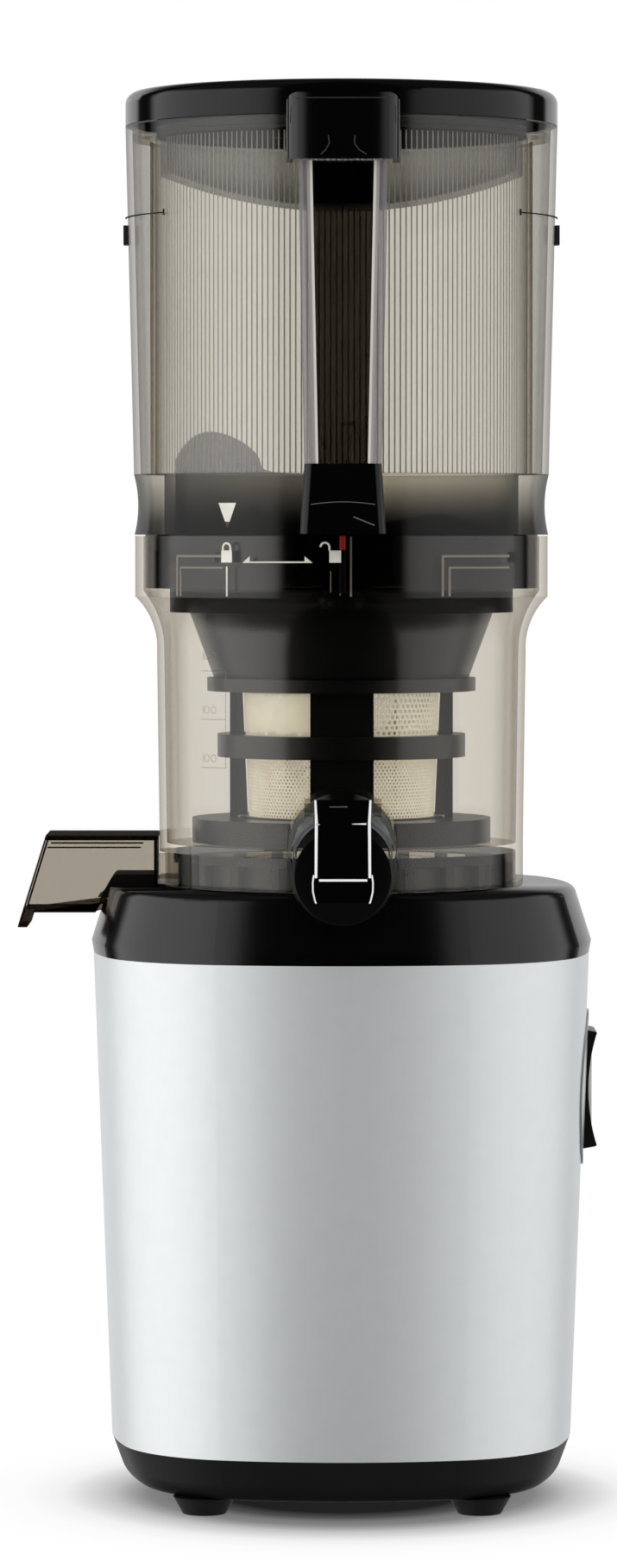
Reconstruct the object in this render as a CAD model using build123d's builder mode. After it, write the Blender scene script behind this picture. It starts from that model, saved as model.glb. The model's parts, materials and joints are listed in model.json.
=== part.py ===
from build123d import *
import math
import os

os.makedirs("parts", exist_ok=True)

# Cold press juicer, millimetres. +Z is up and the origin is on the drive axis, in the plane that
# the feet stand on. The juice nozzle and the handle face -Y, the pulp chute faces -X.

# ---------------------------------------------------------------- driving dimensions

# Clearances
fit_gap = 0.03  # radial, pressed or glued seats
running_gap = 0.05  # radial, a shaft or pin that turns in its bore
seat_gap = 0.3  # between a loose piece and what it rests on
side_gap = 0.4  # beside a piece that slides or turns
weld = 1.0  # how far a rib, an arm or a boss runs into what carries it
beyond = 60.0  # how far a cutter reaches past what it cuts

# Base: square plan with bowed sides and round corners
side_centre = 80.5  # the bowed side's centre lies this far beyond the axis
corner_centre = 30.0
base_bottom_half = 82.6
base_flare = 6.4  # the body is this much wider at its top, each side
foot_height = 6.0
pan_height = 15.5
body_height = 173.5
body_wall = 2.5
cover_edge_proud = 0.7
cover_edge_rise = 4.0
cover_taper = 6.2
cover_height = 23.5
cover_wall = 3.0
deck_edge_round = 3.0
pan_taper = 5.6
pan_edge_round = 9.0
pan_wall = 2.5
pan_lip = 4.0
foot_x = 48.4
foot_y = 57.0
foot_top_radius = 11.0
foot_bottom_radius = 7.7
column_x = 62.0
column_y = 40.0
column_radius = 6.0
column_height = 40.0
cover_boss_length = 18.0
screw_radius = 1.75
screw_head_radius = 3.4
screw_head_height = 2.2
screw_recess = 6.0
thread_length = 12.0
thread_end_gap = 2.0
rib_thickness = 2.5
vent_count = 7
vent_pitch = 9.0
vent_length = 44.0
vent_width = 3.2
trough_gap = 1.0

# Switch on the +X side
switch_rise = 124.0  # above the body's lower edge
bezel_radius = 28.0
bezel_proud = 0.8
rocker_width = 24.0
rocker_sweep_radius = 23.5
rocker_end_height = 20.5
rocker_proud = 4.5
rocker_hollow = 3.2
rocker_back = 4.0
switch_pin_radius = 1.5
switch_pin_inset = 7.5
switch_body_depth = 22.0
switch_body_wall = 1.4
switch_body_back = 4.0
terminal_pitch = 14.0
terminal_length = 16.0
terminal_width = 4.8
terminal_thickness = 0.8

# Cord inlet on the +Y side
gland_rise = 23.5  # above the body's lower edge
gland_bore_radius = 3.6
gland_barrel_radius = 5.9
gland_flange_radius = 9.0
gland_flange_proud = 2.5
gland_depth = 10.0
gland_nut_radius = 8.0
gland_nut_thickness = 8.0

# Gears
pressure_angle = 25.0
gear_module = 1.0
pinion_teeth = 12
wheel_teeth = 60
brush_module = 1.25
sun_teeth = 20
idler_teeth = 22
tooth_thinning = 0.08
slow_face = 14.0
fast_face = 8.0

# Motor and gearbox, stacked under the deck on the drive axis
gearcase_hang = 77.5  # from the deck's underside down to the gear case's floor
gearcase_wall = 3.0
gear_tip_gap = 1.3
gear_step = 2.0
gearcase_lid_thickness = 4.0
gearcase_ear_overhang = 5.0
gearcase_ear_offset = 26.0
gearcase_ear_radius = 6.0
gearcase_ear_height = 6.0
bearing_height = 8.0
bearing_radius = 14.0
bearing_floor = 2.0
bearing_lip = 3.0
shaft_seal_radius = 12.5
shaft_radius = 8.0
shaft_clearance = 1.5
axle_radius = 4.0
motor_radius = 42.0
motor_wall = 2.0
motor_length = 78.0
motor_plate = 4.0
motor_shaft_radius = 4.0
motor_shaft_clearance = 1.0
motor_bearing_radius = 11.0
motor_bearing_height = 7.0
motor_bearing_wall = 3.0
end_cap_holes = 8
end_cap_hole_radius = 6.0
rotor_radius = 17.0
rotor_length = 42.0
rotor_bar_length = 4.0
rotor_bar_width = 1.2
air_gap = 0.6
slot_count = 12
slot_length = 12.0
slot_width = 5.0
slot_offset = 7.0  # from the air gap to the slot's middle
coil_height = 6.0
coil_inner_radius = 19.0
coil_inset = 3.0
coil_round = 1.8
fan_radius = 36.0
fan_height = 14.0
fan_gap = 6.0
fan_hub_wall = 4.0
fan_disc = 1.5
fan_blade_thickness = 1.6
fan_blades = 9
board_width = 60.0
board_height = 56.0
board_thickness = 1.6
board_rise = 83.5  # of its middle, above the body's lower edge
board_inset = 22.0
standoff_radius = 3.0
standoff_inset_x = 6.0
standoff_inset_z = 8.0
capacitor_radius = 5.0
capacitor_length = 14.0
capacitor_pitch = 14.0
relay_width = 18.0
relay_depth = 12.0
interlock_width = 19.8
interlock_depth = 6.4
interlock_height = 10.0
interlock_distance = 39.0

# Bowl
bowl_rise = 15.2  # of its floor, above the deck
floor_thickness = 3.0
bowl_wall = 2.6
bowl_low_radius = 65.3
bowl_flare = 0.9
bowl_wall_height = 68.3
shoulder_height = 20.0
collar_height = 21.7
collar_step = 7.8
collar_wall = 3.0
base_ring_wall = 4.0
base_ring_windows = 24
base_ring_window_width = 12.8
base_ring_window_height = 8.5
hub_seal_radius = 12.4
boss_wall = 5.5
pulp_hole_width = 16.0
pulp_hole_inset = 2.5
indicator_radius = 1.0
indicator_length = 20.0

# Juice nozzle and its cap
nozzle_tilt = 14.0
nozzle_radius = 19.2
nozzle_wall = 2.7
nozzle_reach = 28.7  # from the bowl's wall to the mouth
nozzle_drop = 4.2  # of the mouth's middle, below the bowl's floor
seal_inset = 1.7
seal_thickness = 2.0
lever_width = 19.7
lever_thickness = 4.0
lever_length = 39.8
cap_axis_rise = 1.5
cap_pin_radius = 1.5
cap_ear_radius = 3.2
cap_ear_width = 3.0
cap_ear_root = 8.0

# Pulp chute
chute_half = 17.0
chute_wall = 2.0
chute_rise = 3.3  # of its top, above the bowl's floor
chute_height = 24.7
chute_length = 40.3
chute_lean = 10.2
chute_lip_drop = 8.4
chute_lip_thickness = 3.6
channel_height = 11.0
channel_end_gap = 4.0
plug_chute_gap = 3.0
plug_length = 21.7
plug_height = 10.4
plug_foot = 5.0
plug_round = 2.0

# Strainer and brush
brush_height = 59.2
strainer_flare = 9.0
strainer_step = 9.5
funnel_height = 24.3
strainer_wall = 2.4
neck_wall = 1.2
flange_step = 11.8
flange_thickness = 4.7
middle_ring_step = 8.1
middle_ring_rise = 30.9
middle_ring_height = 8.1
brush_base_step = 17.2
brush_base_rise = 8.9
screen_top_gap = 3.2  # from the auger's flights to the screen's outside
screen_bottom_gap = 1.3
screen_thickness = 0.6
screen_gap = 0.6
strainer_base_rise = 9.5
strainer_base_thickness = 3.2
strainer_hub_gap = 1.2
side_post_width = 6.0
side_post_depth = 2.8
front_post_width = 22.4
front_post_depth = 4.0
wiper_width = 3.0

# Auger
auger_radius = 32.0
auger_core_radius = 20.0
flight_width = 9.0
flight_turn = 300.0
auger_proud = 0.4  # above the strainer's rim
hex_across_flats = 14.0
hex_length = 28.0
hex_chamfer = 1.2
spigot_radius = 9.0
spigot_length = 24.0
blade_overhang = 4.6
blade_thickness = 5.0
blade_crest = 39.0  # above the spigot
blade_crest_drop = 10.0
blade_low_crest = 10.0
blade_lift = 3.4
blade_edge = 6.0
blade_hub_radius = 14.0
blade_hub_cap = 4.0

# Hopper
twist_angle = 32.0
ring_proud = 0.2
ring_height = 21.6
ring_waist_depth = 1.3
ring_waist_rise = 10.9
ring_flare = 0.2
ring_width = 10.9
skirt_gap = 0.6
skirt_depth = 19.1
skirt_wall = 3.8
groove_depth = 2.2
groove_rise = 9.0
groove_height = 4.4
lug_half_angle = 3.0
lug_angles = (-126.0, -32.0, 90.0)
hopper_height = 124.0
hopper_flare = 2.9
hopper_wall_thickness = 2.4
liner_inset = 5.9
liner_wall = 1.8
liner_drop = 2.7
liner_flange = 2.0
clip_drop = 41.9
clip_height = 6.9
clip_proud = 0.9
clip_seat = 0.8
clip_width = 9.0

# Handle
handle_reach = 33.6  # from the hopper ring to the handle's front
handle_depth = 11.0
handle_drop = 18.1
handle_rise = 2.7
handle_top_width = 30.7
handle_bottom_width = 26.5
handle_edge_round = 3.0
handle_arm_height = 14.0
handle_arm_width = 20.0
handle_arm_root = 6.0
handle_foot_width = 29.5
handle_foot_round = 3.5
handle_foot_root = 4.0

# Lid, hinge and latch
lid_height = 12.0
lid_wall = 3.0
lid_edge_round = 4.2
plug_gap = 1.9
plug_side_depth = 17.4
plug_centre_depth = 30.0
plug_wall = 2.0
gasket_height = 3.5
gasket_proud = 1.4
gasket_drop = 0.5
hinge_offset = 4.2
hinge_rise = 1.0
hinge_barrel_radius = 3.6
hinge_pin_radius = 1.6
hinge_knuckle_half = 10.0
hinge_knuckle_width = 6.0
hinge_knuckle_height = 7.0
latch_width = 38.9
latch_rise = 4.5
latch_height = 22.5
latch_overhang = 4.0  # in front of the handle
latch_wall = 2.4
latch_corner = 4.0
latch_pin_drop = 1.8
latch_pin_offset = 5.7
latch_pin_radius = 1.4
latch_ear_radius = 3.2
latch_ear_width = 3.0
latch_cheek_root = 3.0

# ---------------------------------------------------------------- levels, from the feet up

pan_bottom = foot_height
body_bottom = pan_bottom + pan_height
body_top = body_bottom + body_height
cover_edge_height = body_top + cover_edge_rise
deck = body_top + cover_height
deck_underside = deck - cover_wall
switch_height = body_bottom + switch_rise
gland_height = body_bottom + gland_rise
board_middle = body_bottom + board_rise
bowl_floor = deck + bowl_rise
bowl_shoulder = bowl_floor + bowl_wall_height
collar_bottom = bowl_shoulder + shoulder_height
collar_top = collar_bottom + collar_height
nozzle_height = bowl_floor - nozzle_drop
chute_top = bowl_floor + chute_rise
chute_bottom = chute_top - chute_height
chute_lip_bottom = chute_bottom - chute_lip_drop
plug_bottom = chute_bottom + chute_wall + seat_gap
plug_top = plug_bottom + plug_height
strainer_base_top = bowl_floor + strainer_base_rise
brush_base_top = bowl_floor + brush_base_rise
middle_ring_bottom = bowl_floor + middle_ring_rise
middle_ring_top = middle_ring_bottom + middle_ring_height
brush_top = bowl_floor + brush_height
throat = brush_top + side_gap
strainer_rim_height = throat + funnel_height
auger_top = strainer_rim_height + auger_proud
spigot_top = auger_top + spigot_length
blade_top = spigot_top + blade_crest
blade_low_top = spigot_top + blade_low_crest
ring_bottom = collar_top + side_gap
ring_waist_height = ring_bottom + ring_waist_rise
ring_top = ring_bottom + ring_height
skirt_bottom = ring_bottom - skirt_depth
groove_bottom = skirt_bottom + groove_rise
hopper_top = ring_top + hopper_height
liner_top = hopper_top - liner_drop
clip_bottom = hopper_top - clip_drop
handle_top = hopper_top - handle_drop
handle_bottom = ring_top + handle_rise
lid_bottom = hopper_top + seat_gap
lid_top = lid_bottom + lid_height
plug_side_bottom = lid_bottom - plug_side_depth
plug_centre_bottom = lid_bottom - plug_centre_depth
hinge_height = lid_bottom + hinge_rise
latch_top = lid_bottom + latch_rise
latch_bottom = latch_top - latch_height
latch_pin_height = lid_bottom - latch_pin_drop

# ---------------------------------------------------------------- radii, from the axis outwards

base_top_half = base_bottom_half + base_flare
cover_edge_half = base_top_half + cover_edge_proud
deck_half = cover_edge_half - cover_taper
pan_half = base_bottom_half - pan_taper
bowl_high_radius = bowl_low_radius + bowl_flare
base_ring_radius = bowl_low_radius - bowl_wall - side_gap
collar_radius = bowl_high_radius + collar_step
nozzle_mouth = bowl_low_radius + nozzle_reach
seal_radius = nozzle_radius - seal_inset
chute_top_reach = bowl_low_radius + chute_length
chute_reach = chute_top_reach + chute_lean
plug_reach = bowl_low_radius + plug_length
screen_top_radius = auger_radius + screen_top_gap
screen_bottom_radius = auger_radius + screen_bottom_gap
neck_radius = screen_top_radius + neck_wall
strainer_waist_radius = neck_radius + strainer_step
strainer_rim_radius = strainer_waist_radius + strainer_flare
flange_radius = neck_radius + flange_step
middle_ring_radius = neck_radius + middle_ring_step
brush_base_radius = neck_radius + brush_base_step
blade_radius = strainer_rim_radius + blade_overhang
ring_bottom_radius = collar_radius + ring_proud
ring_waist_radius = ring_bottom_radius - ring_waist_depth
ring_top_radius = ring_bottom_radius + ring_flare
ring_inner_radius = ring_top_radius - ring_width
skirt_radius = collar_radius - collar_wall - skirt_gap
groove_radius = skirt_radius - groove_depth
hopper_top_radius = ring_top_radius + hopper_flare
hopper_slope = hopper_flare / hopper_height
liner_radius = ring_top_radius - liner_inset
liner_inner = liner_radius - liner_wall
lid_radius = hopper_top_radius
plug_radius = liner_inner - plug_gap
hinge_behind = hopper_top_radius + hinge_offset
handle_front = ring_top_radius + handle_reach
latch_front = handle_front + latch_overhang
latch_pin_distance = hopper_top_radius + latch_pin_offset

# ---------------------------------------------------------------- gears, motor and bowl fittings

gear_offset = gear_module * (pinion_teeth + wheel_teeth) / 2
wheel_tip = gear_module * (wheel_teeth / 2 + 1)
ring_teeth = sun_teeth + 2 * idler_teeth
idler_offset = brush_module * (sun_teeth + idler_teeth) / 2
idler_tip = brush_module * (idler_teeth / 2 + 1)
sun_tip = brush_module * (sun_teeth / 2 + 1)

gearcase_floor = deck_underside - gearcase_hang
gearcase_inner = wheel_tip + gear_tip_gap
gearcase_outer = gearcase_inner + gearcase_wall
fast_bottom = gearcase_floor + gearcase_wall + gear_step / 2
fast_top = fast_bottom + fast_face
slow_bottom = fast_top + gear_step
slow_top = slow_bottom + slow_face
gearcase_top = slow_top + gear_step
gearcase_lid_top = gearcase_top + gearcase_lid_thickness
case_middle = gear_offset / 2
ear_x = gearcase_outer + gearcase_ear_overhang

tower_radius = bearing_radius + cover_wall
tower_bottom = deck_underside - bearing_height - cover_wall
tower_top = deck + cover_wall

base_ring_top = bowl_floor - floor_thickness - seat_gap / 2
bowl_foot = deck + seat_gap
gear_bed = bowl_floor + seat_gap
hex_top = gear_bed + hex_length
strainer_base_bottom = strainer_base_top - strainer_base_thickness
brush_gear_top = strainer_base_bottom - seat_gap
brush_gear_bottom = bowl_floor + 2 * seat_gap
neck_bottom = brush_top - flange_thickness - seat_gap
boss_outer = neck_radius - side_gap
boss_inner = boss_outer - boss_wall
post_inner = neck_radius + 2 * side_gap

motor_top = gearcase_floor
motor_bottom = motor_top - motor_length
end_cap_bottom = motor_bottom - motor_plate
top_bearing_bottom = motor_top - motor_plate - motor_bearing_height
core_middle = (motor_bottom + motor_top) / 2
core_bottom = core_middle - rotor_length / 2
core_top = core_middle + rotor_length / 2
fan_top = end_cap_bottom - fan_gap
fan_bottom = fan_top - fan_height

cap_axis_distance = nozzle_mouth + seat_gap + cap_ear_radius - side_gap
cap_axis_height = nozzle_height + nozzle_radius + cap_axis_rise
lever_bottom = cap_axis_height - lever_length
lever_back = nozzle_mouth + seat_gap + seal_thickness
lever_front = lever_back + lever_thickness

chute_root = bowl_low_radius + side_gap
chute_slant = chute_lean / (chute_top - chute_lip_bottom)
chute_mouth_bottom = chute_reach - chute_slant * chute_lip_drop

upright = (Align.CENTER, Align.CENTER, Align.MIN)

# ---------------------------------------------------------------- shared shapes


def plan(height, half):
    """The base's plan at a height: a square with bowed sides and round corners."""
    side_radius = half + side_centre
    corner_radius = side_radius - math.hypot(side_centre + corner_centre, corner_centre)
    reach = side_radius / (side_radius - corner_radius)
    near = Vector(reach * (side_centre + corner_centre) - side_centre, reach * corner_centre)
    diagonal = corner_centre + corner_radius * math.sqrt(0.5)
    with BuildSketch(Plane.XY.offset(height)) as section:
        with BuildLine():
            for turn in (0, 90, 180, 270):
                start, middle, stop, corner, after = [
                    Vector(x, y).rotate(Axis.Z, turn)
                    for x, y in (
                        (near.X, -near.Y),
                        (half, 0),
                        (near.X, near.Y),
                        (diagonal, diagonal),
                        (near.Y, near.X),
                    )
                ]
                ThreePointArc(start, middle, stop)
                ThreePointArc(stop, corner, after)
        make_face()
    return section.sketch


def body_half(height):
    """Half width of the tapered body at a height."""
    share = (height - body_bottom) / (body_top - body_bottom)
    return base_bottom_half + share * (base_top_half - base_bottom_half)


def body_block(bottom, top, inset):
    """A solid tapered block that follows the body's outside, moved inwards by an inset."""
    return loft(
        [plan(bottom, body_half(bottom) - inset), plan(top, body_half(top) - inset)], mode=Mode.PRIVATE
    )


def half_section(*points):
    """A closed outline of (radius, height) points, to be revolved about Z."""
    with BuildSketch(Plane.XZ) as section:
        with BuildLine():
            Polyline(*points, close=True)
        make_face()
    return section.sketch


def tube(outer, inner, bottom, top):
    """Half section of a plain ring."""
    return half_section((inner, bottom), (outer, bottom), (outer, top), (inner, top))


def side_profile(*points):
    """A closed outline of (x, z) points in the XZ plane, to be extruded both ways along Y."""
    return half_section(*points)


def post(radius, bottom, top, mode=Mode.ADD):
    """An upright cylinder at each current location."""
    with Locations((0, 0, bottom)):
        Cylinder(radius, top - bottom, align=upright, mode=mode)


def involute(radius, base_radius):
    """The involute angle at a radius, in radians."""
    roll = math.acos(min(1.0, base_radius / radius))
    return math.tan(roll) - roll


def gear(height, module, teeth, phase, tip, root, thinning):
    """Gear outline about Z with a tooth centred on the phase angle; tip and root are in modules."""
    pitch_radius = module * teeth / 2
    base_radius = pitch_radius * math.cos(math.radians(pressure_angle))
    tip_radius = pitch_radius + tip * module
    root_radius = pitch_radius - root * module
    start_radius = max(base_radius, root_radius)
    half_tooth = math.pi / 2 / teeth - thinning / (2 * pitch_radius) + involute(pitch_radius, base_radius)

    def point(radius, centre, side):
        angle = centre + side * (half_tooth - involute(max(radius, start_radius), base_radius))
        return (radius * math.cos(angle), radius * math.sin(angle))

    def flank(centre, side):
        middle_radius = (start_radius + tip_radius) / 2
        ThreePointArc(
            point(start_radius, centre, side),
            point(middle_radius, centre, side),
            point(tip_radius, centre, side),
        )

    with BuildSketch(Plane.XY.offset(height)) as section:
        with BuildLine():
            for tooth in range(teeth):
                centre = math.radians(phase) + tooth * 2 * math.pi / teeth
                following = centre + 2 * math.pi / teeth
                flank(centre, -1)
                Line(point(tip_radius, centre, -1), point(tip_radius, centre, 1))
                flank(centre, 1)
                if root_radius < start_radius:
                    Line(point(start_radius, centre, 1), point(root_radius, centre, 1))
                    Line(point(root_radius, following, -1), point(start_radius, following, -1))
                Line(point(root_radius, centre, 1), point(root_radius, following, -1))
        make_face()
    return section.sketch


def outer_gear(height, module, teeth, phase):
    """A gear with outside teeth, thinned for backlash."""
    return gear(height, module, teeth, phase, tip=1.0, root=1.25, thinning=tooth_thinning)


def case_plan(height, radius):
    """The gear case's plan: two circles about the gear axes, joined by tangents."""
    with BuildSketch(Plane.XY.offset(height)) as section:
        with Locations((0, case_middle)):
            SlotCenterToCenter(gear_offset, 2 * radius, rotation=90)
    return section.sketch


def nozzle_rod(radius, length):
    """A cylinder along the tilted nozzle's axis, starting in front of its mouth."""
    run = length / 2
    return (
        Pos(0, -nozzle_mouth, nozzle_height)
        * Rot(nozzle_tilt, 0, 0)
        * Pos(0, run - nozzle_radius, 0)
        * Rot(90, 0, 0)
        * Cylinder(radius, length, mode=Mode.PRIVATE)
    )


def hopper_cone(inset, bottom, top):
    """A solid cone that follows the hopper's outside, moved inwards by an inset."""
    return revolve(
        half_section(
            (0, bottom),
            (ring_top_radius + hopper_slope * (bottom - ring_top) - inset, bottom),
            (ring_top_radius + hopper_slope * (top - ring_top) - inset, top),
            (0, top),
        ),
        axis=Axis.Z,
        mode=Mode.PRIVATE,
    )


ear_places = [
    (x, case_middle + y) for x in (-ear_x, ear_x) for y in (-gearcase_ear_offset, gearcase_ear_offset)
]
column_places = [(x, y) for x in (-column_x, column_x) for y in (-column_y, column_y)]
foot_places = [(x, y) for x in (-foot_x, foot_x) for y in (-foot_y, foot_y)]
stack_top = body_top - seat_gap
thread_hole = thread_length + thread_end_gap
lower_bearing_bottom = gearcase_top + bearing_floor
gearcase_ear_bottom = gearcase_top - gearcase_ear_height
cover_boss_bottom = body_top - cover_boss_length
switch_x = body_half(switch_height)
switch_axis_x = switch_x - switch_pin_inset
switch_cavity_half = rocker_sweep_radius + side_gap
switch_body_half = switch_cavity_half + switch_body_wall
board_y = -(body_half(body_bottom) - board_inset)

# ---------------------------------------------------------------- base: casings

with BuildPart() as base_housing:
    loft([plan(body_bottom, base_bottom_half), plan(body_top, base_top_half)])
    loft(
        [plan(body_bottom, base_bottom_half - body_wall), plan(body_top, base_top_half - body_wall)],
        mode=Mode.SUBTRACT,
    )
    # screw columns at the bottom and bosses at the top, each with a rib to the side wall
    for bottom, top in (
        (body_bottom + pan_lip + seat_gap, body_bottom + column_height),
        (cover_boss_bottom, stack_top),
    ):
        for x, y in column_places:
            wall_x = math.copysign(body_half(bottom) - body_wall - weld, x)
            with Locations((x, y)):
                post(column_radius, bottom, top)
            with Locations(((x + wall_x) / 2, y, (bottom + top) / 2)):
                Box(abs(wall_x - x), rib_thickness, top - bottom)
            with Locations((x, y)):
                post(screw_radius, bottom, top, mode=Mode.SUBTRACT)
    # standoffs for the circuit board on the front wall
    standoff_end = -(body_half(board_middle) - body_wall / 2)
    for x in (-board_width / 2 + standoff_inset_x, board_width / 2 - standoff_inset_x):
        for z in (-board_height / 2 + standoff_inset_z, board_height / 2 - standoff_inset_z):
            with Locations((x, (standoff_end + board_y) / 2, board_middle + z)):
                Cylinder(standoff_radius, board_y - standoff_end, rotation=(90, 0, 0))
    add(body_block(body_bottom, body_top, 0), mode=Mode.INTERSECT)
    # window for the switch and hole for the cord inlet
    with Locations((switch_x, 0, switch_height)):
        Box(
            4 * body_wall,
            rocker_width + 2 * (side_gap + switch_body_wall + fit_gap),
            2 * (switch_body_half + fit_gap),
            mode=Mode.SUBTRACT,
        )
    with Locations((0, body_half(gland_height), gland_height)):
        Cylinder(gland_barrel_radius + fit_gap, 6 * body_wall, rotation=(90, 0, 0), mode=Mode.SUBTRACT)

nozzle_groove = nozzle_rod(nozzle_radius + trough_gap, beyond)
front_half = Pos(0, -deck_half, deck_underside) * Box(2 * deck_half, beyond, 2 * deck_half)
nozzle_cradle = nozzle_rod(nozzle_radius + trough_gap + cover_wall, beyond) & front_half
cover_core = loft(
    [plan(body_top, base_top_half), plan(cover_edge_height, cover_edge_half)], mode=Mode.PRIVATE
) + loft([plan(cover_edge_height, cover_edge_half), plan(deck, deck_half)], mode=Mode.PRIVATE)

with BuildPart() as top_cover:
    loft([plan(body_top, base_top_half), plan(cover_edge_height, cover_edge_half)])
    loft([plan(cover_edge_height, cover_edge_half), plan(deck, deck_half)])
    fillet(top_cover.faces().sort_by(Axis.Z)[-1].edges(), deck_edge_round)
    loft(
        [plan(body_top, base_top_half - cover_wall), plan(deck_underside, deck_half - cover_wall)],
        mode=Mode.SUBTRACT,
    )
    # troughs under the nozzle and the pulp chute
    add(nozzle_cradle)
    with Locations((-(deck_half + bowl_low_radius) / 2, 0, chute_bottom - cover_wall)):
        Box(
            deck_half - bowl_low_radius + 2 * trough_gap + 2 * cover_wall,
            2 * (chute_half + trough_gap + cover_wall),
            deck_underside - chute_bottom + 2 * cover_wall,
            align=upright,
        )
    add(cover_core, mode=Mode.INTERSECT)
    add(nozzle_groove, mode=Mode.SUBTRACT)
    with Locations((-deck_half, 0, chute_bottom - trough_gap)):
        Box(
            2 * (deck_half - bowl_low_radius + 2 * trough_gap),
            2 * (chute_half + trough_gap),
            deck,
            align=upright,
            mode=Mode.SUBTRACT,
        )
    # tower that holds the upper bearing and the seal
    post(tower_radius, tower_bottom, tower_top)
    post(bearing_radius + fit_gap, tower_bottom, tower_bottom + bearing_height, mode=Mode.SUBTRACT)
    post(shaft_radius + shaft_clearance, tower_bottom, tower_top, mode=Mode.SUBTRACT)
    post(shaft_seal_radius + fit_gap, tower_top - cover_wall, tower_top, mode=Mode.SUBTRACT)
    # posts that carry the gear case, and bosses for the cover screws
    with Locations(*ear_places):
        post(gearcase_ear_radius, gearcase_lid_top, deck_underside)
        post(screw_radius, gearcase_lid_top, gearcase_lid_top + thread_hole, mode=Mode.SUBTRACT)
    with Locations(*column_places):
        post(column_radius, body_top, deck_underside)
        post(screw_radius, body_top, body_top + thread_hole, mode=Mode.SUBTRACT)

with BuildPart() as bottom_cover:
    loft([plan(pan_bottom, pan_half), plan(body_bottom, base_bottom_half)])
    fillet(bottom_cover.faces().sort_by(Axis.Z)[0].edges(), pan_edge_round)
    loft(
        [
            plan(pan_bottom + pan_wall, pan_half - pan_wall - pan_edge_round / 2),
            plan(body_bottom, base_bottom_half - pan_wall),
        ],
        mode=Mode.SUBTRACT,
    )
    # lip that locates the pan inside the body
    lip_half = base_bottom_half - body_wall - side_gap
    extrude(plan(body_bottom - 2 * weld, lip_half), amount=pan_lip + 2 * weld)
    extrude(
        plan(body_bottom - 2 * weld, lip_half - pan_wall), amount=pan_lip + 2 * weld, mode=Mode.SUBTRACT
    )
    with Locations(*column_places):
        post(column_radius, pan_bottom + pan_wall, body_bottom + pan_lip)
        post(screw_radius + side_gap, pan_bottom, body_bottom + pan_lip, mode=Mode.SUBTRACT)
        post(screw_head_radius + side_gap, pan_bottom, pan_bottom + screw_recess, mode=Mode.SUBTRACT)
    # air slots under the fan
    with BuildSketch(Plane.XY.offset(pan_bottom)):
        with GridLocations(vent_pitch, 0, vent_count, 1):
            SlotOverall(vent_length, vent_width, rotation=90)
    extrude(amount=pan_wall, mode=Mode.SUBTRACT)

with BuildPart() as rubber_feet:
    with Locations(*foot_places):
        Cone(foot_bottom_radius, foot_top_radius, pan_bottom, align=upright)

with BuildPart() as base_screws:
    head_top = pan_bottom + screw_recess
    with Locations(*column_places):
        post(screw_head_radius, head_top - screw_head_height, head_top)
        post(screw_radius - running_gap, head_top, body_bottom + column_height - thread_length)

with BuildPart() as cover_screws:
    with Locations(*column_places):
        post(screw_head_radius, cover_boss_bottom - screw_head_height, cover_boss_bottom)
        post(screw_radius - running_gap, cover_boss_bottom, body_top + thread_length)

# ---------------------------------------------------------------- base: inlet and switch

gland_outside = body_half(gland_height) + gland_flange_proud
gland_inside = body_half(gland_height) - body_wall - gland_depth
wall_skin = body_block(body_bottom, body_top, 0)

with BuildPart() as cord_gland:
    with Locations((0, gland_outside, gland_height)):
        Cylinder(
            gland_flange_radius,
            3 * gland_flange_proud,
            rotation=(90, 0, 0),
            align=(Align.CENTER, Align.CENTER, Align.MIN),
        )
    add(wall_skin, mode=Mode.SUBTRACT)
    with Locations((0, (gland_outside + gland_inside) / 2, gland_height)):
        Cylinder(gland_barrel_radius, gland_outside - gland_inside, rotation=(90, 0, 0))
    with Locations((0, gland_inside + gland_nut_thickness / 2, gland_height)):
        Cylinder(gland_nut_radius, gland_nut_thickness, rotation=(90, 0, 0))
    with Locations((0, (gland_outside + gland_inside) / 2, gland_height)):
        Cylinder(gland_bore_radius, gland_outside - gland_inside, rotation=(90, 0, 0), mode=Mode.SUBTRACT)

with BuildPart() as switch_bezel:
    with Locations((switch_x, 0, switch_height)):
        Cylinder(bezel_radius, 6 * body_wall, rotation=(0, 90, 0))
    add(body_block(body_bottom, body_top, -bezel_proud), mode=Mode.INTERSECT)
    add(body_block(body_bottom, body_top, -fit_gap), mode=Mode.SUBTRACT)
    with Locations((switch_x, 0, switch_height)):
        Box(6 * body_wall, rocker_width + 2 * side_gap, 2 * switch_cavity_half, mode=Mode.SUBTRACT)

with BuildPart() as switch_body:
    with Locations((switch_x - body_wall - switch_body_depth / 2, 0, switch_height)):
        Box(switch_body_depth, rocker_width + 2 * (side_gap + switch_body_wall), 2 * switch_body_half)
    with Locations((switch_x - body_wall, 0, switch_height)):
        Box(
            2 * (switch_body_depth - switch_body_back),
            rocker_width + 2 * side_gap,
            2 * switch_cavity_half,
            mode=Mode.SUBTRACT,
        )
    with Locations((switch_axis_x, 0, switch_height)):
        Cylinder(switch_pin_radius + fit_gap, 2 * rocker_width, rotation=(90, 0, 0), mode=Mode.SUBTRACT)
    # terminals at the back
    with Locations((switch_x - body_wall - switch_body_depth, 0, switch_height)):
        with GridLocations(0, terminal_pitch, 1, 2):
            Box(terminal_length, terminal_width, terminal_thickness)

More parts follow.
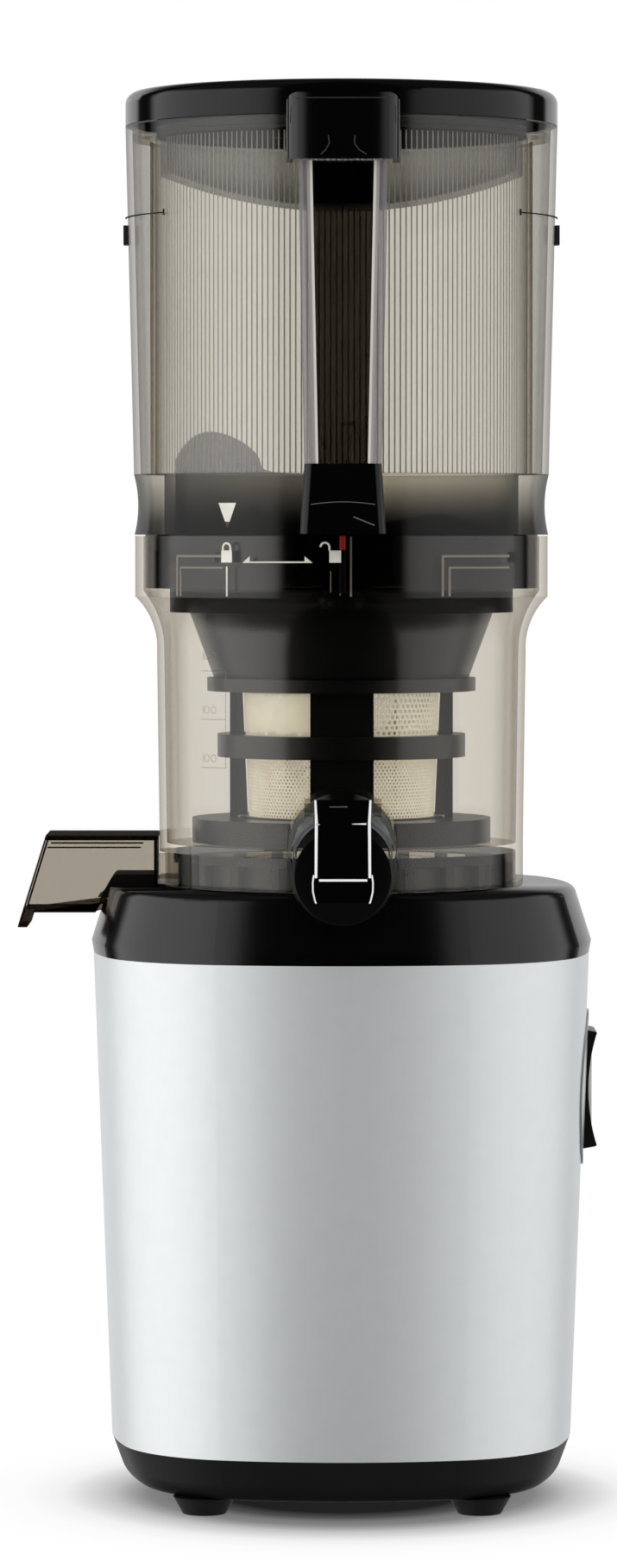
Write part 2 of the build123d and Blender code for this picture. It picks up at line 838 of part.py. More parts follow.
with BuildPart() as switch_rocker:
    with BuildSketch(Plane.XZ):
        front = switch_x + rocker_proud
        back = switch_axis_x - rocker_back
        with BuildLine():
            Line((back, -rocker_sweep_radius), (front, -rocker_end_height))
            ThreePointArc((front, -rocker_end_height), (front - rocker_hollow, 0), (front, rocker_end_height))
            Line((front, rocker_end_height), (back, rocker_sweep_radius))
            Line((back, rocker_sweep_radius), (back, -rocker_sweep_radius))
        make_face()
        with Locations((switch_axis_x, 0)):
            Circle(rocker_sweep_radius, mode=Mode.INTERSECT)
        with Locations((switch_axis_x, 0)):
            Circle(switch_pin_radius + running_gap, mode=Mode.SUBTRACT)
    extrude(amount=rocker_width / 2, both=True)
switch_rocker.part.position = (0, 0, switch_height)

with BuildPart() as switch_pivot:
    with Locations((switch_axis_x, 0, switch_height)):
        Cylinder(switch_pin_radius, rocker_width + 2 * (side_gap + switch_body_wall), rotation=(90, 0, 0))

# ---------------------------------------------------------------- gearbox

with BuildPart() as gearbox_housing:
    extrude(case_plan(gearcase_floor, gearcase_outer), amount=gearcase_top - gearcase_floor)
    with Locations(*ear_places):
        post(gearcase_ear_radius, gearcase_top - gearcase_ear_height, gearcase_top)
    extrude(
        case_plan(gearcase_floor + gearcase_wall, gearcase_inner),
        amount=gearcase_top - gearcase_floor,
        mode=Mode.SUBTRACT,
    )
    with Locations(*ear_places):
        post(screw_radius + side_gap, gearcase_floor, gearcase_top, mode=Mode.SUBTRACT)
    post(motor_shaft_radius + motor_shaft_clearance, gearcase_floor, gearcase_top, mode=Mode.SUBTRACT)
    with Locations((0, gear_offset)):
        post(axle_radius + fit_gap, gearcase_floor, gearcase_top, mode=Mode.SUBTRACT)

with BuildPart() as gearbox_lid:
    extrude(case_plan(gearcase_top, gearcase_outer), amount=gearcase_lid_thickness)
    with Locations(*ear_places):
        post(gearcase_ear_radius, gearcase_top, gearcase_lid_top)
    post(tower_radius, gearcase_top, lower_bearing_bottom + bearing_height)
    post(
        bearing_radius + fit_gap,
        lower_bearing_bottom,
        lower_bearing_bottom + bearing_height,
        mode=Mode.SUBTRACT,
    )
    post(bearing_radius - bearing_lip, gearcase_top, lower_bearing_bottom, mode=Mode.SUBTRACT)
    with Locations(*ear_places):
        post(screw_radius + side_gap, gearcase_top, gearcase_lid_top, mode=Mode.SUBTRACT)
    with Locations((0, gear_offset)):
        post(axle_radius + fit_gap, gearcase_top, gearcase_lid_top, mode=Mode.SUBTRACT)

with BuildPart() as gearbox_screws:
    with Locations(*ear_places):
        post(screw_head_radius, gearcase_ear_bottom - screw_head_height, gearcase_ear_bottom)
        post(screw_radius - running_gap, gearcase_ear_bottom, gearcase_lid_top + thread_length)

with BuildPart() as intermediate_axle:
    with Locations((0, gear_offset)):
        post(axle_radius, gearcase_floor, gearcase_lid_top)

wheel_half_tooth = 180 / wheel_teeth

with BuildPart() as intermediate_gear:
    extrude(outer_gear(fast_bottom, gear_module, wheel_teeth, -90 + wheel_half_tooth), amount=fast_face)
    extrude(outer_gear(fast_top, gear_module, pinion_teeth, -90), amount=slow_top - fast_top)
    post(axle_radius + running_gap, fast_bottom, slow_top, mode=Mode.SUBTRACT)
intermediate_gear.part.position = (0, gear_offset, 0)

with BuildPart() as output_gear:
    extrude(outer_gear(slow_bottom, gear_module, wheel_teeth, 90 + wheel_half_tooth), amount=slow_face)
    post(shaft_radius + fit_gap, slow_bottom, slow_top, mode=Mode.SUBTRACT)

with BuildPart() as output_shaft:
    post(shaft_radius, slow_bottom, gear_bed)
    with BuildSketch(Plane.XY.offset(gear_bed)):
        RegularPolygon(hex_across_flats / 2, 6, major_radius=False)
    extrude(amount=hex_top - gear_bed)
    chamfer(output_shaft.faces().sort_by(Axis.Z)[-1].edges(), hex_chamfer)

with BuildPart() as output_bearings:
    for bottom in (lower_bearing_bottom, tower_bottom):
        revolve(
            tube(bearing_radius, shaft_radius + running_gap, bottom, bottom + bearing_height),
            axis=Axis.Z,
        )

with BuildPart() as shaft_seal:
    revolve(
        tube(shaft_seal_radius, shaft_radius + running_gap, tower_top - cover_wall, tower_top), axis=Axis.Z
    )

# ---------------------------------------------------------------- motor

with BuildPart() as motor_can:
    revolve(
        half_section(
            (motor_shaft_radius + motor_shaft_clearance, motor_top),
            (motor_radius, motor_top),
            (motor_radius, motor_bottom),
            (motor_radius - motor_wall, motor_bottom),
            (motor_radius - motor_wall, motor_top - motor_plate),
            (motor_bearing_radius + motor_bearing_wall, motor_top - motor_plate),
            (motor_bearing_radius + motor_bearing_wall, top_bearing_bottom),
            (motor_bearing_radius + fit_gap, top_bearing_bottom),
            (motor_bearing_radius + fit_gap, motor_top - motor_plate),
            (motor_shaft_radius + motor_shaft_clearance, motor_top - motor_plate),
        ),
        axis=Axis.Z,
    )

with BuildPart() as motor_end_cap:
    revolve(
        half_section(
            (motor_shaft_radius + motor_shaft_clearance, end_cap_bottom),
            (motor_radius, end_cap_bottom),
            (motor_radius, motor_bottom),
            (motor_bearing_radius + motor_bearing_wall, motor_bottom),
            (motor_bearing_radius + motor_bearing_wall, motor_bottom + motor_bearing_height),
            (motor_bearing_radius + fit_gap, motor_bottom + motor_bearing_height),
            (motor_bearing_radius + fit_gap, motor_bottom),
            (motor_shaft_radius + motor_shaft_clearance, motor_bottom),
        ),
        axis=Axis.Z,
    )
    with BuildSketch(Plane.XY.offset(end_cap_bottom)):
        with PolarLocations((motor_radius + motor_bearing_radius) / 2, end_cap_holes):
            Circle(end_cap_hole_radius)
    extrude(amount=motor_plate, mode=Mode.SUBTRACT)

with BuildPart() as motor_bearings:
    for bottom in (motor_bottom, top_bearing_bottom):
        revolve(
            tube(
                motor_bearing_radius,
                motor_shaft_radius + running_gap,
                bottom,
                bottom + motor_bearing_height,
            ),
            axis=Axis.Z,
        )

with BuildPart() as stator_core:
    revolve(
        tube(motor_radius - motor_wall - fit_gap, rotor_radius + air_gap, core_bottom, core_top), axis=Axis.Z
    )
    with BuildSketch(Plane.XY.offset(core_bottom)):
        with PolarLocations(rotor_radius + air_gap + slot_offset, slot_count):
            SlotOverall(slot_length, slot_width)
    extrude(amount=rotor_length, mode=Mode.SUBTRACT)

with BuildPart() as coil_windings:
    coil_outer = motor_radius - motor_wall - coil_inset
    for bottom in (core_bottom - coil_height, core_top):
        revolve(tube(coil_outer, coil_inner_radius, bottom, bottom + coil_height), axis=Axis.Z)
    fillet(coil_windings.edges().filter_by(GeomType.CIRCLE), coil_round)

with BuildPart() as motor_rotor:
    revolve(tube(rotor_radius, motor_shaft_radius + fit_gap, core_bottom, core_top), axis=Axis.Z)
    with BuildSketch(Plane.XY.offset(core_bottom)):
        with PolarLocations(rotor_radius, 2 * slot_count):
            Rectangle(rotor_bar_length, rotor_bar_width)
    extrude(amount=rotor_length, mode=Mode.SUBTRACT)

with BuildPart() as motor_shaft:
    post(motor_shaft_radius, fan_bottom - 2 * weld, fast_bottom)
    extrude(outer_gear(fast_bottom, gear_module, pinion_teeth, 90), amount=fast_face)

with BuildPart() as cooling_fan:
    post(motor_shaft_radius + fan_hub_wall, fan_bottom, fan_top)
    post(fan_radius, fan_top - fan_disc, fan_top)
    with PolarLocations((fan_radius + motor_shaft_radius + fan_hub_wall) / 2 - weld, fan_blades):
        with Locations((0, 0, fan_bottom)):
            Box(
                fan_radius - motor_shaft_radius - fan_hub_wall,
                fan_blade_thickness,
                fan_height,
                align=upright,
            )
    post(motor_shaft_radius + fit_gap, fan_bottom, fan_top, mode=Mode.SUBTRACT)

# ---------------------------------------------------------------- electrics

with BuildPart() as circuit_board:
    with Locations((0, board_y + board_thickness / 2, board_middle)):
        Box(board_width, board_thickness, board_height)
    # capacitors and relay, soldered to the side that faces the front wall's hollow
    with Locations((0, board_y - capacitor_length / 2 + board_thickness, board_middle + capacitor_pitch)):
        with GridLocations(capacitor_pitch, 0, 3, 1):
            Cylinder(capacitor_radius, capacitor_length, rotation=(90, 0, 0))
    with Locations((0, board_y - relay_depth / 2 + board_thickness, board_middle - capacitor_pitch)):
        Box(relay_width, relay_depth, capacitor_pitch)

with BuildPart() as interlock_switch:
    with Locations((0, -interlock_distance, deck_underside - interlock_height)):
        Box(interlock_width, interlock_depth, interlock_height, align=upright)

# ---------------------------------------------------------------- bowl

with BuildPart() as juice_bowl:
    # wall above the floor, with the shoulder and the collar
    with BuildSketch(Plane.XZ):
        with BuildLine():
            outer_top = (collar_radius, collar_bottom)
            inner_top = (collar_radius - collar_wall, collar_bottom + 2 * weld)
            outer_low = (bowl_high_radius, bowl_shoulder)
            inner_low = (bowl_high_radius - bowl_wall, bowl_shoulder + weld)
            rise = collar_step * 0.3
            climb = shoulder_height * 0.62
            Line((bowl_low_radius, bowl_floor), outer_low)
            ThreePointArc(outer_low, (outer_low[0] + rise, outer_low[1] + climb), outer_top)
            Line(outer_top, (collar_radius, collar_top))
            Line((collar_radius, collar_top), (collar_radius - collar_wall, collar_top))
            Line((collar_radius - collar_wall, collar_top), inner_top)
            ThreePointArc(inner_top, (inner_low[0] + rise, inner_low[1] + climb), inner_low)
            Line(inner_low, (bowl_low_radius - bowl_wall, bowl_floor))
            Line((bowl_low_radius - bowl_wall, bowl_floor), (bowl_low_radius, bowl_floor))
        make_face()
    revolve(axis=Axis.Z)
    # juice nozzle
    add(nozzle_rod(nozzle_radius, nozzle_reach + 2 * nozzle_radius))
    add(nozzle_rod(nozzle_radius - nozzle_wall, nozzle_reach + 3 * nozzle_radius), mode=Mode.SUBTRACT)
    with Locations((0, -nozzle_mouth, nozzle_height)):
        Box(beyond, beyond, beyond, align=(Align.CENTER, Align.MAX, Align.CENTER), mode=Mode.SUBTRACT)
    post(bowl_low_radius - bowl_wall, deck - nozzle_radius, bowl_floor + beyond, mode=Mode.SUBTRACT)
    # floor and foot
    revolve(
        half_section(
            (hub_seal_radius + fit_gap, bowl_floor),
            (bowl_low_radius, bowl_floor),
            (bowl_low_radius, bowl_foot),
            (bowl_low_radius - bowl_wall, bowl_foot),
            (bowl_low_radius - bowl_wall, bowl_floor - floor_thickness),
            (hub_seal_radius + fit_gap, bowl_floor - floor_thickness),
        ),
        axis=Axis.Z,
    )
    # seat for the strainer, with a window for the idler gear and the idler's stub
    revolve(tube(boss_outer, boss_inner, bowl_floor, strainer_base_bottom), axis=Axis.Z)
    with Locations((0, idler_offset)):
        post(idler_tip + side_gap, bowl_floor, strainer_base_bottom, mode=Mode.SUBTRACT)
        post(axle_radius, bowl_floor, brush_gear_top)
    # pulp hole and the passage for the chute's channel
    with Locations((-(boss_inner + sun_tip) / 2, 0, bowl_floor)):
        Box(
            boss_inner - sun_tip - 2 * pulp_hole_inset,
            pulp_hole_width,
            4 * floor_thickness,
            mode=Mode.SUBTRACT,
        )
    with Locations((-bowl_low_radius, 0, bowl_foot)):
        Box(
            4 * bowl_wall,
            2 * (chute_half + side_gap),
            bowl_floor - floor_thickness - bowl_foot,
            align=upright,
            mode=Mode.SUBTRACT,
        )
    # bayonet lugs inside the collar
    for angle in lug_angles:
        with BuildSketch(Plane.XY.offset(groove_bottom + side_gap)):
            with BuildLine():
                inner_arc = CenterArc(
                    (0, 0), groove_radius + side_gap, angle - lug_half_angle, 2 * lug_half_angle
                )
                outer_arc = CenterArc(
                    (0, 0), collar_radius - collar_wall / 2, angle - lug_half_angle, 2 * lug_half_angle
                )
                Line(inner_arc @ 0, outer_arc @ 0)
                Line(inner_arc @ 1, outer_arc @ 1)
            make_face()
        extrude(amount=groove_height - 2 * side_gap)
    # pocket for the lock indicator
    with Locations((0, -(collar_radius - collar_wall / 2))):
        post(indicator_radius + fit_gap, collar_top - indicator_length, collar_top, mode=Mode.SUBTRACT)
    # ears for the cap's hinge pin
    for side in (-1, 1):
        with BuildSketch(Plane.YZ.offset(side * (lever_width / 2 + side_gap + cap_ear_width / 2))):
            with Locations((-cap_axis_distance, cap_axis_height)):
                Circle(cap_ear_radius)
            with BuildLine():
                Polyline(
                    (-cap_axis_distance - cap_ear_radius, cap_axis_height),
                    (-cap_axis_distance + cap_ear_radius, cap_axis_height),
                    (-nozzle_mouth + cap_ear_root, nozzle_height + nozzle_radius - 2 * weld),
                    (-nozzle_mouth + cap_ear_root, nozzle_height + nozzle_radius - 6 * weld),
                    (-nozzle_mouth, nozzle_height + nozzle_radius - cap_ear_root),
                    (-nozzle_mouth, cap_axis_height - cap_ear_radius),
                    close=True,
                )
            make_face()
            with Locations((-cap_axis_distance, cap_axis_height)):
                Circle(cap_pin_radius + fit_gap, mode=Mode.SUBTRACT)
        extrude(amount=cap_ear_width / 2, both=True)

with BuildPart() as lock_indicator:
    with Locations((0, -(collar_radius - collar_wall / 2))):
        post(indicator_radius, collar_top - indicator_length, collar_top)

with BuildPart() as bowl_base_ring:
    revolve(tube(base_ring_radius, base_ring_radius - base_ring_wall, bowl_foot, base_ring_top), axis=Axis.Z)
    with PolarLocations(base_ring_radius, base_ring_windows):
        with Locations((0, 0, bowl_foot)):
            Box(
                4 * base_ring_wall,
                base_ring_window_width,
                base_ring_window_height,
                align=upright,
                mode=Mode.SUBTRACT,
            )
    with Locations((-base_ring_radius, 0, bowl_foot)):
        Box(
            4 * base_ring_wall,
            2 * (chute_half + side_gap),
            2 * base_ring_window_height,
            align=upright,
            mode=Mode.SUBTRACT,
        )

with BuildPart() as bowl_seal:
    revolve(
        tube(hub_seal_radius, shaft_radius + running_gap, bowl_floor - floor_thickness, bowl_floor),
        axis=Axis.Z,
    )

with BuildPart() as pulp_chute:
    extrude(
        side_profile(
            (-chute_root + 2 * weld, chute_bottom),
            (-chute_mouth_bottom + chute_lip_thickness, chute_bottom),
            (-chute_reach + chute_lip_thickness, chute_lip_bottom),
            (-chute_reach, chute_lip_bottom),
            (-chute_top_reach, chute_top),
            (-chute_root + 2 * weld, chute_top),
        ),
        amount=chute_half,
        both=True,
    )
    extrude(
        side_profile(
            (-chute_root + 3 * weld, chute_bottom + chute_wall),
            (-chute_reach - weld, chute_bottom + chute_wall),
            (-chute_reach - weld, chute_top - chute_wall),
            (-chute_root + 3 * weld, chute_top - chute_wall),
        ),
        amount=chute_half - chute_wall,
        both=True,
        mode=Mode.SUBTRACT,
    )
    post(chute_root, chute_bottom - weld, chute_top + weld, mode=Mode.SUBTRACT)
    # channel under the bowl's floor
    channel_top = bowl_floor - floor_thickness - seat_gap
    channel_inner = sun_tip + channel_end_gap
    channel_middle = (channel_inner + chute_root + weld) / 2
    with Locations((-channel_middle, 0, channel_top - channel_height)):
        Box(chute_root + weld - channel_inner, 2 * chute_half, channel_height, align=upright)
    with Locations((-channel_middle - chute_wall, 0, channel_top - channel_height)):
        with Locations((0, 0, chute_wall)):
            Box(
                chute_root + weld - channel_inner,
                2 * (chute_half - chute_wall),
                channel_height,
                align=upright,
                mode=Mode.SUBTRACT,
            )

with BuildPart() as pulp_plug:
    extrude(
        side_profile(
            (-chute_root - plug_chute_gap, plug_bottom),
            (-plug_reach - plug_foot, plug_bottom),
            (-plug_reach, plug_top - plug_round),
            (-plug_reach + plug_round, plug_top),
            (-chute_root - plug_chute_gap, plug_top),
        ),
        amount=chute_half - chute_wall - seat_gap,
        both=True,
    )

# ---------------------------------------------------------------- strainer

with BuildPart() as strainer_funnel:
    neck_inner = screen_top_radius - screen_thickness - screen_gap
    revolve(
        half_section(
            (strainer_rim_radius, strainer_rim_height),
            (strainer_waist_radius, throat),
            (neck_radius, throat),
            (neck_radius, neck_bottom),
            (neck_inner, neck_bottom),
            (neck_inner, throat + strainer_wall),
            (strainer_waist_radius - strainer_wall, throat + 2 * strainer_wall),
            (strainer_rim_radius - strainer_wall, strainer_rim_height),
        ),
        axis=Axis.Z,
    )

with BuildPart() as strainer_screen:
    revolve(
        half_section(
            (screen_bottom_radius, strainer_base_top),
            (screen_top_radius, neck_bottom),
            (screen_top_radius - screen_thickness, neck_bottom),
            (screen_bottom_radius - screen_thickness, strainer_base_top),
        ),
        axis=Axis.Z,
    )

with BuildPart() as strainer_base:
    revolve(
        tube(boss_outer, sun_tip + strainer_hub_gap, strainer_base_bottom, strainer_base_top),
        axis=Axis.Z,
    )
    with Locations((-(boss_inner + sun_tip) / 2, 0, strainer_base_bottom)):
        Box(
            boss_inner - sun_tip - 2 * pulp_hole_inset,
            pulp_hole_width - 2 * weld,
            2 * strainer_base_thickness,
            align=upright,
            mode=Mode.SUBTRACT,
        )

# ---------------------------------------------------------------- brush

with BuildPart() as brush_frame:
    revolve(tube(brush_base_radius, neck_radius + side_gap, gear_bed, brush_base_top), axis=Axis.Z)
    # inside teeth, cut with the outline of a gear whose tip and root are exchanged
    ring_gear = gear(
        gear_bed,
        brush_module,
        ring_teeth,
        90 + 180 / ring_teeth,
        tip=1.25,
        root=1.0,
        thinning=-tooth_thinning,
    )
    extrude(ring_gear, amount=strainer_base_bottom - gear_bed, mode=Mode.SUBTRACT)
    revolve(tube(middle_ring_radius, post_inner, middle_ring_bottom, middle_ring_top), axis=Axis.Z)
    revolve(tube(flange_radius, neck_radius + side_gap, brush_top - flange_thickness, brush_top), axis=Axis.Z)
    with BuildSketch(Plane.XY.offset(strainer_base_bottom)):
        with Locations((-post_inner - side_post_depth / 2, 0), (post_inner + side_post_depth / 2, 0)):
            Rectangle(side_post_depth, side_post_width)
        with Locations((0, -post_inner - front_post_depth / 2), (0, post_inner + front_post_depth / 2)):
            Rectangle(front_post_width, front_post_depth)
    extrude(amount=brush_top - strainer_base_bottom)

with BuildPart() as brush_wipers:
    lean = (screen_top_radius - screen_bottom_radius) / (neck_bottom - strainer_base_top)
    wiper_bottom = strainer_base_top + seat_gap
    wiper_top = brush_top - flange_thickness - seat_gap
    for turn in (0, 90, 180, 270):
        with BuildSketch(Plane.XZ.rotated((0, 0, turn))):
            with BuildLine():
                Polyline(
                    (
                        screen_bottom_radius + seat_gap + lean * (wiper_bottom - strainer_base_top),
                        wiper_bottom,
                    ),
                    (post_inner - fit_gap, wiper_bottom),
                    (post_inner - fit_gap, wiper_top),
                    (screen_bottom_radius + seat_gap + lean * (wiper_top - strainer_base_top), wiper_top),
                    close=True,
                )
            make_face()
        extrude(amount=wiper_width / 2, both=True)

with BuildPart() as brush_idler:
    extrude(
        outer_gear(brush_gear_bottom, brush_module, idler_teeth, -90 + 180 / idler_teeth),
        amount=brush_gear_top - brush_gear_bottom,
    )
    post(axle_radius + running_gap, brush_gear_bottom, brush_gear_top, mode=Mode.SUBTRACT)
brush_idler.part.position = (0, idler_offset, 0)

# ---------------------------------------------------------------- auger

with BuildSketch(Plane.XY) as flight_section:
    Circle(auger_core_radius)
    Rectangle(2 * auger_radius, flight_width)
    Circle(auger_radius, mode=Mode.INTERSECT)

flights = Solid.extrude_linear_with_rotation(
    flight_section.sketch.faces()[0], (0, 0, 0), (0, 0, auger_top - strainer_base_top - side_gap), flight_turn
)

with BuildPart() as auger:
    add(Pos(0, 0, strainer_base_top + side_gap) * flights)
    extrude(
        outer_gear(brush_gear_bottom, brush_module, sun_teeth, 90),
        amount=brush_gear_top - brush_gear_bottom,
    )
    post(sun_tip - side_gap, brush_gear_top, strainer_base_top + 2 * weld)
    post(spigot_radius, auger_top, spigot_top)
    with BuildSketch(Plane.XY.offset(brush_gear_bottom)):
        RegularPolygon(hex_across_flats / 2 + running_gap, 6, major_radius=False)
    extrude(amount=hex_top + weld - brush_gear_bottom, mode=Mode.SUBTRACT)

with BuildPart() as auger_blade:
    blade_bottom = strainer_rim_height + blade_lift
    hub_top = spigot_top + blade_hub_cap
    post(blade_hub_radius, auger_top, hub_top)
    with BuildSketch(Plane.XZ):
        crest = [
            (-blade_radius, blade_top - blade_crest_drop),
            (-0.78 * blade_radius, blade_top),
            (-0.5 * blade_radius, blade_top - 0.9 * blade_crest_drop),
            (-0.2 * blade_radius, blade_top - 1.5 * blade_crest_drop),
        ]
        with BuildLine():
            Spline(*crest, tangents=((0.5, 1), (1, 0)))
            Polyline(
                crest[-1],
                (0.2 * blade_radius, hub_top + 2 * weld),
                (0.6 * blade_radius, blade_low_top),
                (blade_radius - blade_hub_cap, blade_low_top - blade_edge),
                (blade_radius, blade_bottom + blade_edge),
                (strainer_rim_radius, blade_bottom),
                (strainer_waist_radius - 2 * weld, auger_top + weld),
                (-strainer_waist_radius + 2 * weld, auger_top + weld),
                (-strainer_rim_radius, blade_bottom),
                (-blade_radius, blade_bottom + blade_edge),
                crest[0],
            )
        make_face()
    extrude(amount=blade_thickness / 2, both=True)
    post(spigot_radius + fit_gap, auger_top, spigot_top + seat_gap, mode=Mode.SUBTRACT)

# ---------------------------------------------------------------- juice cap

with BuildPart() as cap_seal:
    with BuildSketch(Plane.XZ.offset(nozzle_mouth + seat_gap)):
        with Locations((0, nozzle_height)):
            Circle(seal_radius)
    extrude(amount=seal_thickness)

with BuildPart() as juice_cap:
    with BuildSketch(Plane.XZ.offset(lever_back)):
        with BuildLine():
            half = lever_width / 2
            Line((-half, cap_axis_height), (-half, lever_bottom + half))
            ThreePointArc((-half, lever_bottom + half), (0, lever_bottom), (half, lever_bottom + half))
            Line((half, lever_bottom + half), (half, cap_axis_height))
            Line((half, cap_axis_height), (-half, cap_axis_height))
        make_face()
    extrude(amount=lever_thickness)
    with BuildSketch(Plane.YZ):
        with Locations((-cap_axis_distance, cap_axis_height)):
            Circle(cap_ear_radius - side_gap)
        with Locations((-(cap_axis_distance + lever_front) / 2, cap_axis_height)):
            Rectangle(lever_front - cap_axis_distance, 2 * (cap_ear_radius - side_gap))
    extrude(amount=half, both=True)
    with BuildSketch(Plane.YZ):
        with Locations((-cap_axis_distance, cap_axis_height)):
            Circle(cap_pin_radius + running_gap)
    extrude(amount=lever_width, both=True, mode=Mode.SUBTRACT)

with BuildPart() as cap_hinge_pin:
    with Locations((0, -cap_axis_distance, cap_axis_height)):
        Cylinder(cap_pin_radius, lever_width + 2 * (side_gap + cap_ear_width), rotation=(0, 90, 0))

# ---------------------------------------------------------------- hopper

with BuildPart() as hopper_ring:
    with BuildSketch(Plane.XZ):
        with BuildLine():
            ThreePointArc(
                (ring_bottom_radius, ring_bottom),
                (ring_waist_radius, ring_waist_height),
                (ring_top_radius, ring_top),
            )
            Polyline(
                (ring_top_radius, ring_top),
                (ring_inner_radius, ring_top),
                (ring_inner_radius, ring_bottom),
                (skirt_radius - skirt_wall, ring_bottom),
                (skirt_radius - skirt_wall, skirt_bottom),
                (skirt_radius, skirt_bottom),
                (skirt_radius, ring_bottom),
                (ring_bottom_radius, ring_bottom),
            )
        make_face()
    revolve(axis=Axis.Z)
    # bayonet grooves: in from below, then round by the twist
    slot_half = lug_half_angle + math.degrees(side_gap / groove_radius)
    for angle in lug_angles:
        start = angle - twist_angle - slot_half
        for width, bottom in ((twist_angle + 2 * slot_half, groove_bottom), (2 * slot_half, skirt_bottom)):
            with BuildSketch(Plane.XY.offset(bottom)):
                with BuildLine():
                    inner_arc = CenterArc((0, 0), groove_radius, start, width)
                    outer_arc = CenterArc((0, 0), skirt_radius + weld, start, width)
                    Line(inner_arc @ 0, outer_arc @ 0)
                    Line(inner_arc @ 1, outer_arc @ 1)
                make_face()
            extrude(amount=groove_bottom + groove_height - bottom, mode=Mode.SUBTRACT)

with BuildPart() as hopper_wall:
    revolve(
        half_section(
            (ring_top_radius, ring_top),
            (hopper_top_radius, hopper_top),
            (hopper_top_radius - hopper_wall_thickness, hopper_top),
            (ring_top_radius - hopper_wall_thickness, ring_top),
        ),
        axis=Axis.Z,
    )
    # knuckles that carry the lid's hinge pin
    knuckle_x = hinge_knuckle_half + side_gap + hinge_knuckle_width / 2
    with Locations((-knuckle_x, 0, 0), (knuckle_x, 0, 0)):
        with Locations((0, hinge_behind, hinge_height)):
            Cylinder(hinge_barrel_radius, hinge_knuckle_width, rotation=(0, 90, 0))
        with Locations((0, hinge_behind, hopper_top - hinge_knuckle_height / 2)):
            Box(hinge_knuckle_width, 2 * (hinge_offset + 2 * weld), hinge_knuckle_height)
    add(hopper_cone(hopper_wall_thickness, ring_top, hopper_top), mode=Mode.SUBTRACT)
    with Locations((0, hinge_behind + hinge_barrel_radius, hopper_top)):
        Box(beyond, beyond, beyond, align=(Align.CENTER, Align.MIN, Align.CENTER), mode=Mode.SUBTRACT)
    with Locations((0, hinge_behind, hinge_height)):
        Cylinder(hinge_pin_radius + fit_gap, beyond, rotation=(0, 90, 0), mode=Mode.SUBTRACT)

with BuildPart() as hopper_liner:
    flange_bottom = liner_top - liner_flange
    flange_reach = (
        ring_top_radius + hopper_slope * (flange_bottom - ring_top) - hopper_wall_thickness - fit_gap
    )
    revolve(
        half_section(
            (liner_radius, ring_top),
            (liner_radius, flange_bottom),
            (flange_reach, flange_bottom),
            (flange_reach, liner_top),
            (liner_inner, liner_top),
            (liner_inner, ring_top),
        ),
        axis=Axis.Z,
    )

with BuildPart() as side_clips:
    clip_x = ring_top_radius + hopper_slope * (clip_bottom - ring_top)
    with Locations((-clip_x, 0, clip_bottom), (clip_x, 0, clip_bottom)):
        Box(2 * (clip_proud + clip_seat), clip_width, clip_height, align=upright)
    add(hopper_cone(-fit_gap, ring_top, hopper_top), mode=Mode.SUBTRACT)

with BuildPart() as hopper_handle:
    handle_back = handle_front - handle_depth
    with BuildSketch(Plane.XZ.offset(handle_back)):
        with BuildLine():
            Polyline(
                (-handle_bottom_width / 2, handle_bottom),
                (handle_bottom_width / 2, handle_bottom),
                (handle_top_width / 2, handle_top),
                (-handle_top_width / 2, handle_top),
                close=True,
            )
        make_face()
    extrude(amount=handle_depth)
    front_edges = hopper_handle.edges().group_by(Axis.Y)[0]
    fillet(front_edges.filter_by(lambda edge: abs(edge.tangent_at(0.5).Z) > 0.5), handle_edge_round)
    with Locations((0, -handle_back, handle_top), (0, -handle_back, handle_bottom + handle_arm_height)):
        Box(
            handle_arm_width,
            2 * (handle_back - ring_top_radius + handle_arm_root),
            handle_arm_height,
            align=(Align.CENTER, Align.CENTER, Align.MAX),
        )
    with Locations((0, -handle_front, 0)):
        Box(beyond, beyond, 4 * lid_top, align=(Align.CENTER, Align.MAX, Align.CENTER), mode=Mode.SUBTRACT)
    add(hopper_cone(-fit_gap, ring_top - weld, hopper_top), mode=Mode.SUBTRACT)

with BuildPart() as handle_foot:
    foot_bottom = ring_bottom + seat_gap
    foot_back = ring_waist_radius - handle_foot_root
    with BuildSketch(Plane.XY.offset(foot_bottom)):
        with Locations((0, -(handle_front + foot_back) / 2)):
            RectangleRounded(handle_foot_width, handle_front - foot_back, handle_foot_round)
    with BuildSketch(Plane.XY.offset(handle_bottom)):
        with Locations((0, -(handle_front + foot_back) / 2)):
            RectangleRounded(handle_bottom_width, handle_front - foot_back, handle_foot_round)
    loft()
    revolve(
        half_section(
            (0, ring_bottom - weld),
            (ring_bottom_radius + fit_gap, ring_bottom - weld),
            (ring_top_radius + fit_gap, ring_top),
            (hopper_top_radius + fit_gap, hopper_top),
            (0, hopper_top),
        ),
        axis=Axis.Z,
        mode=Mode.SUBTRACT,
    )

# ---------------------------------------------------------------- lid

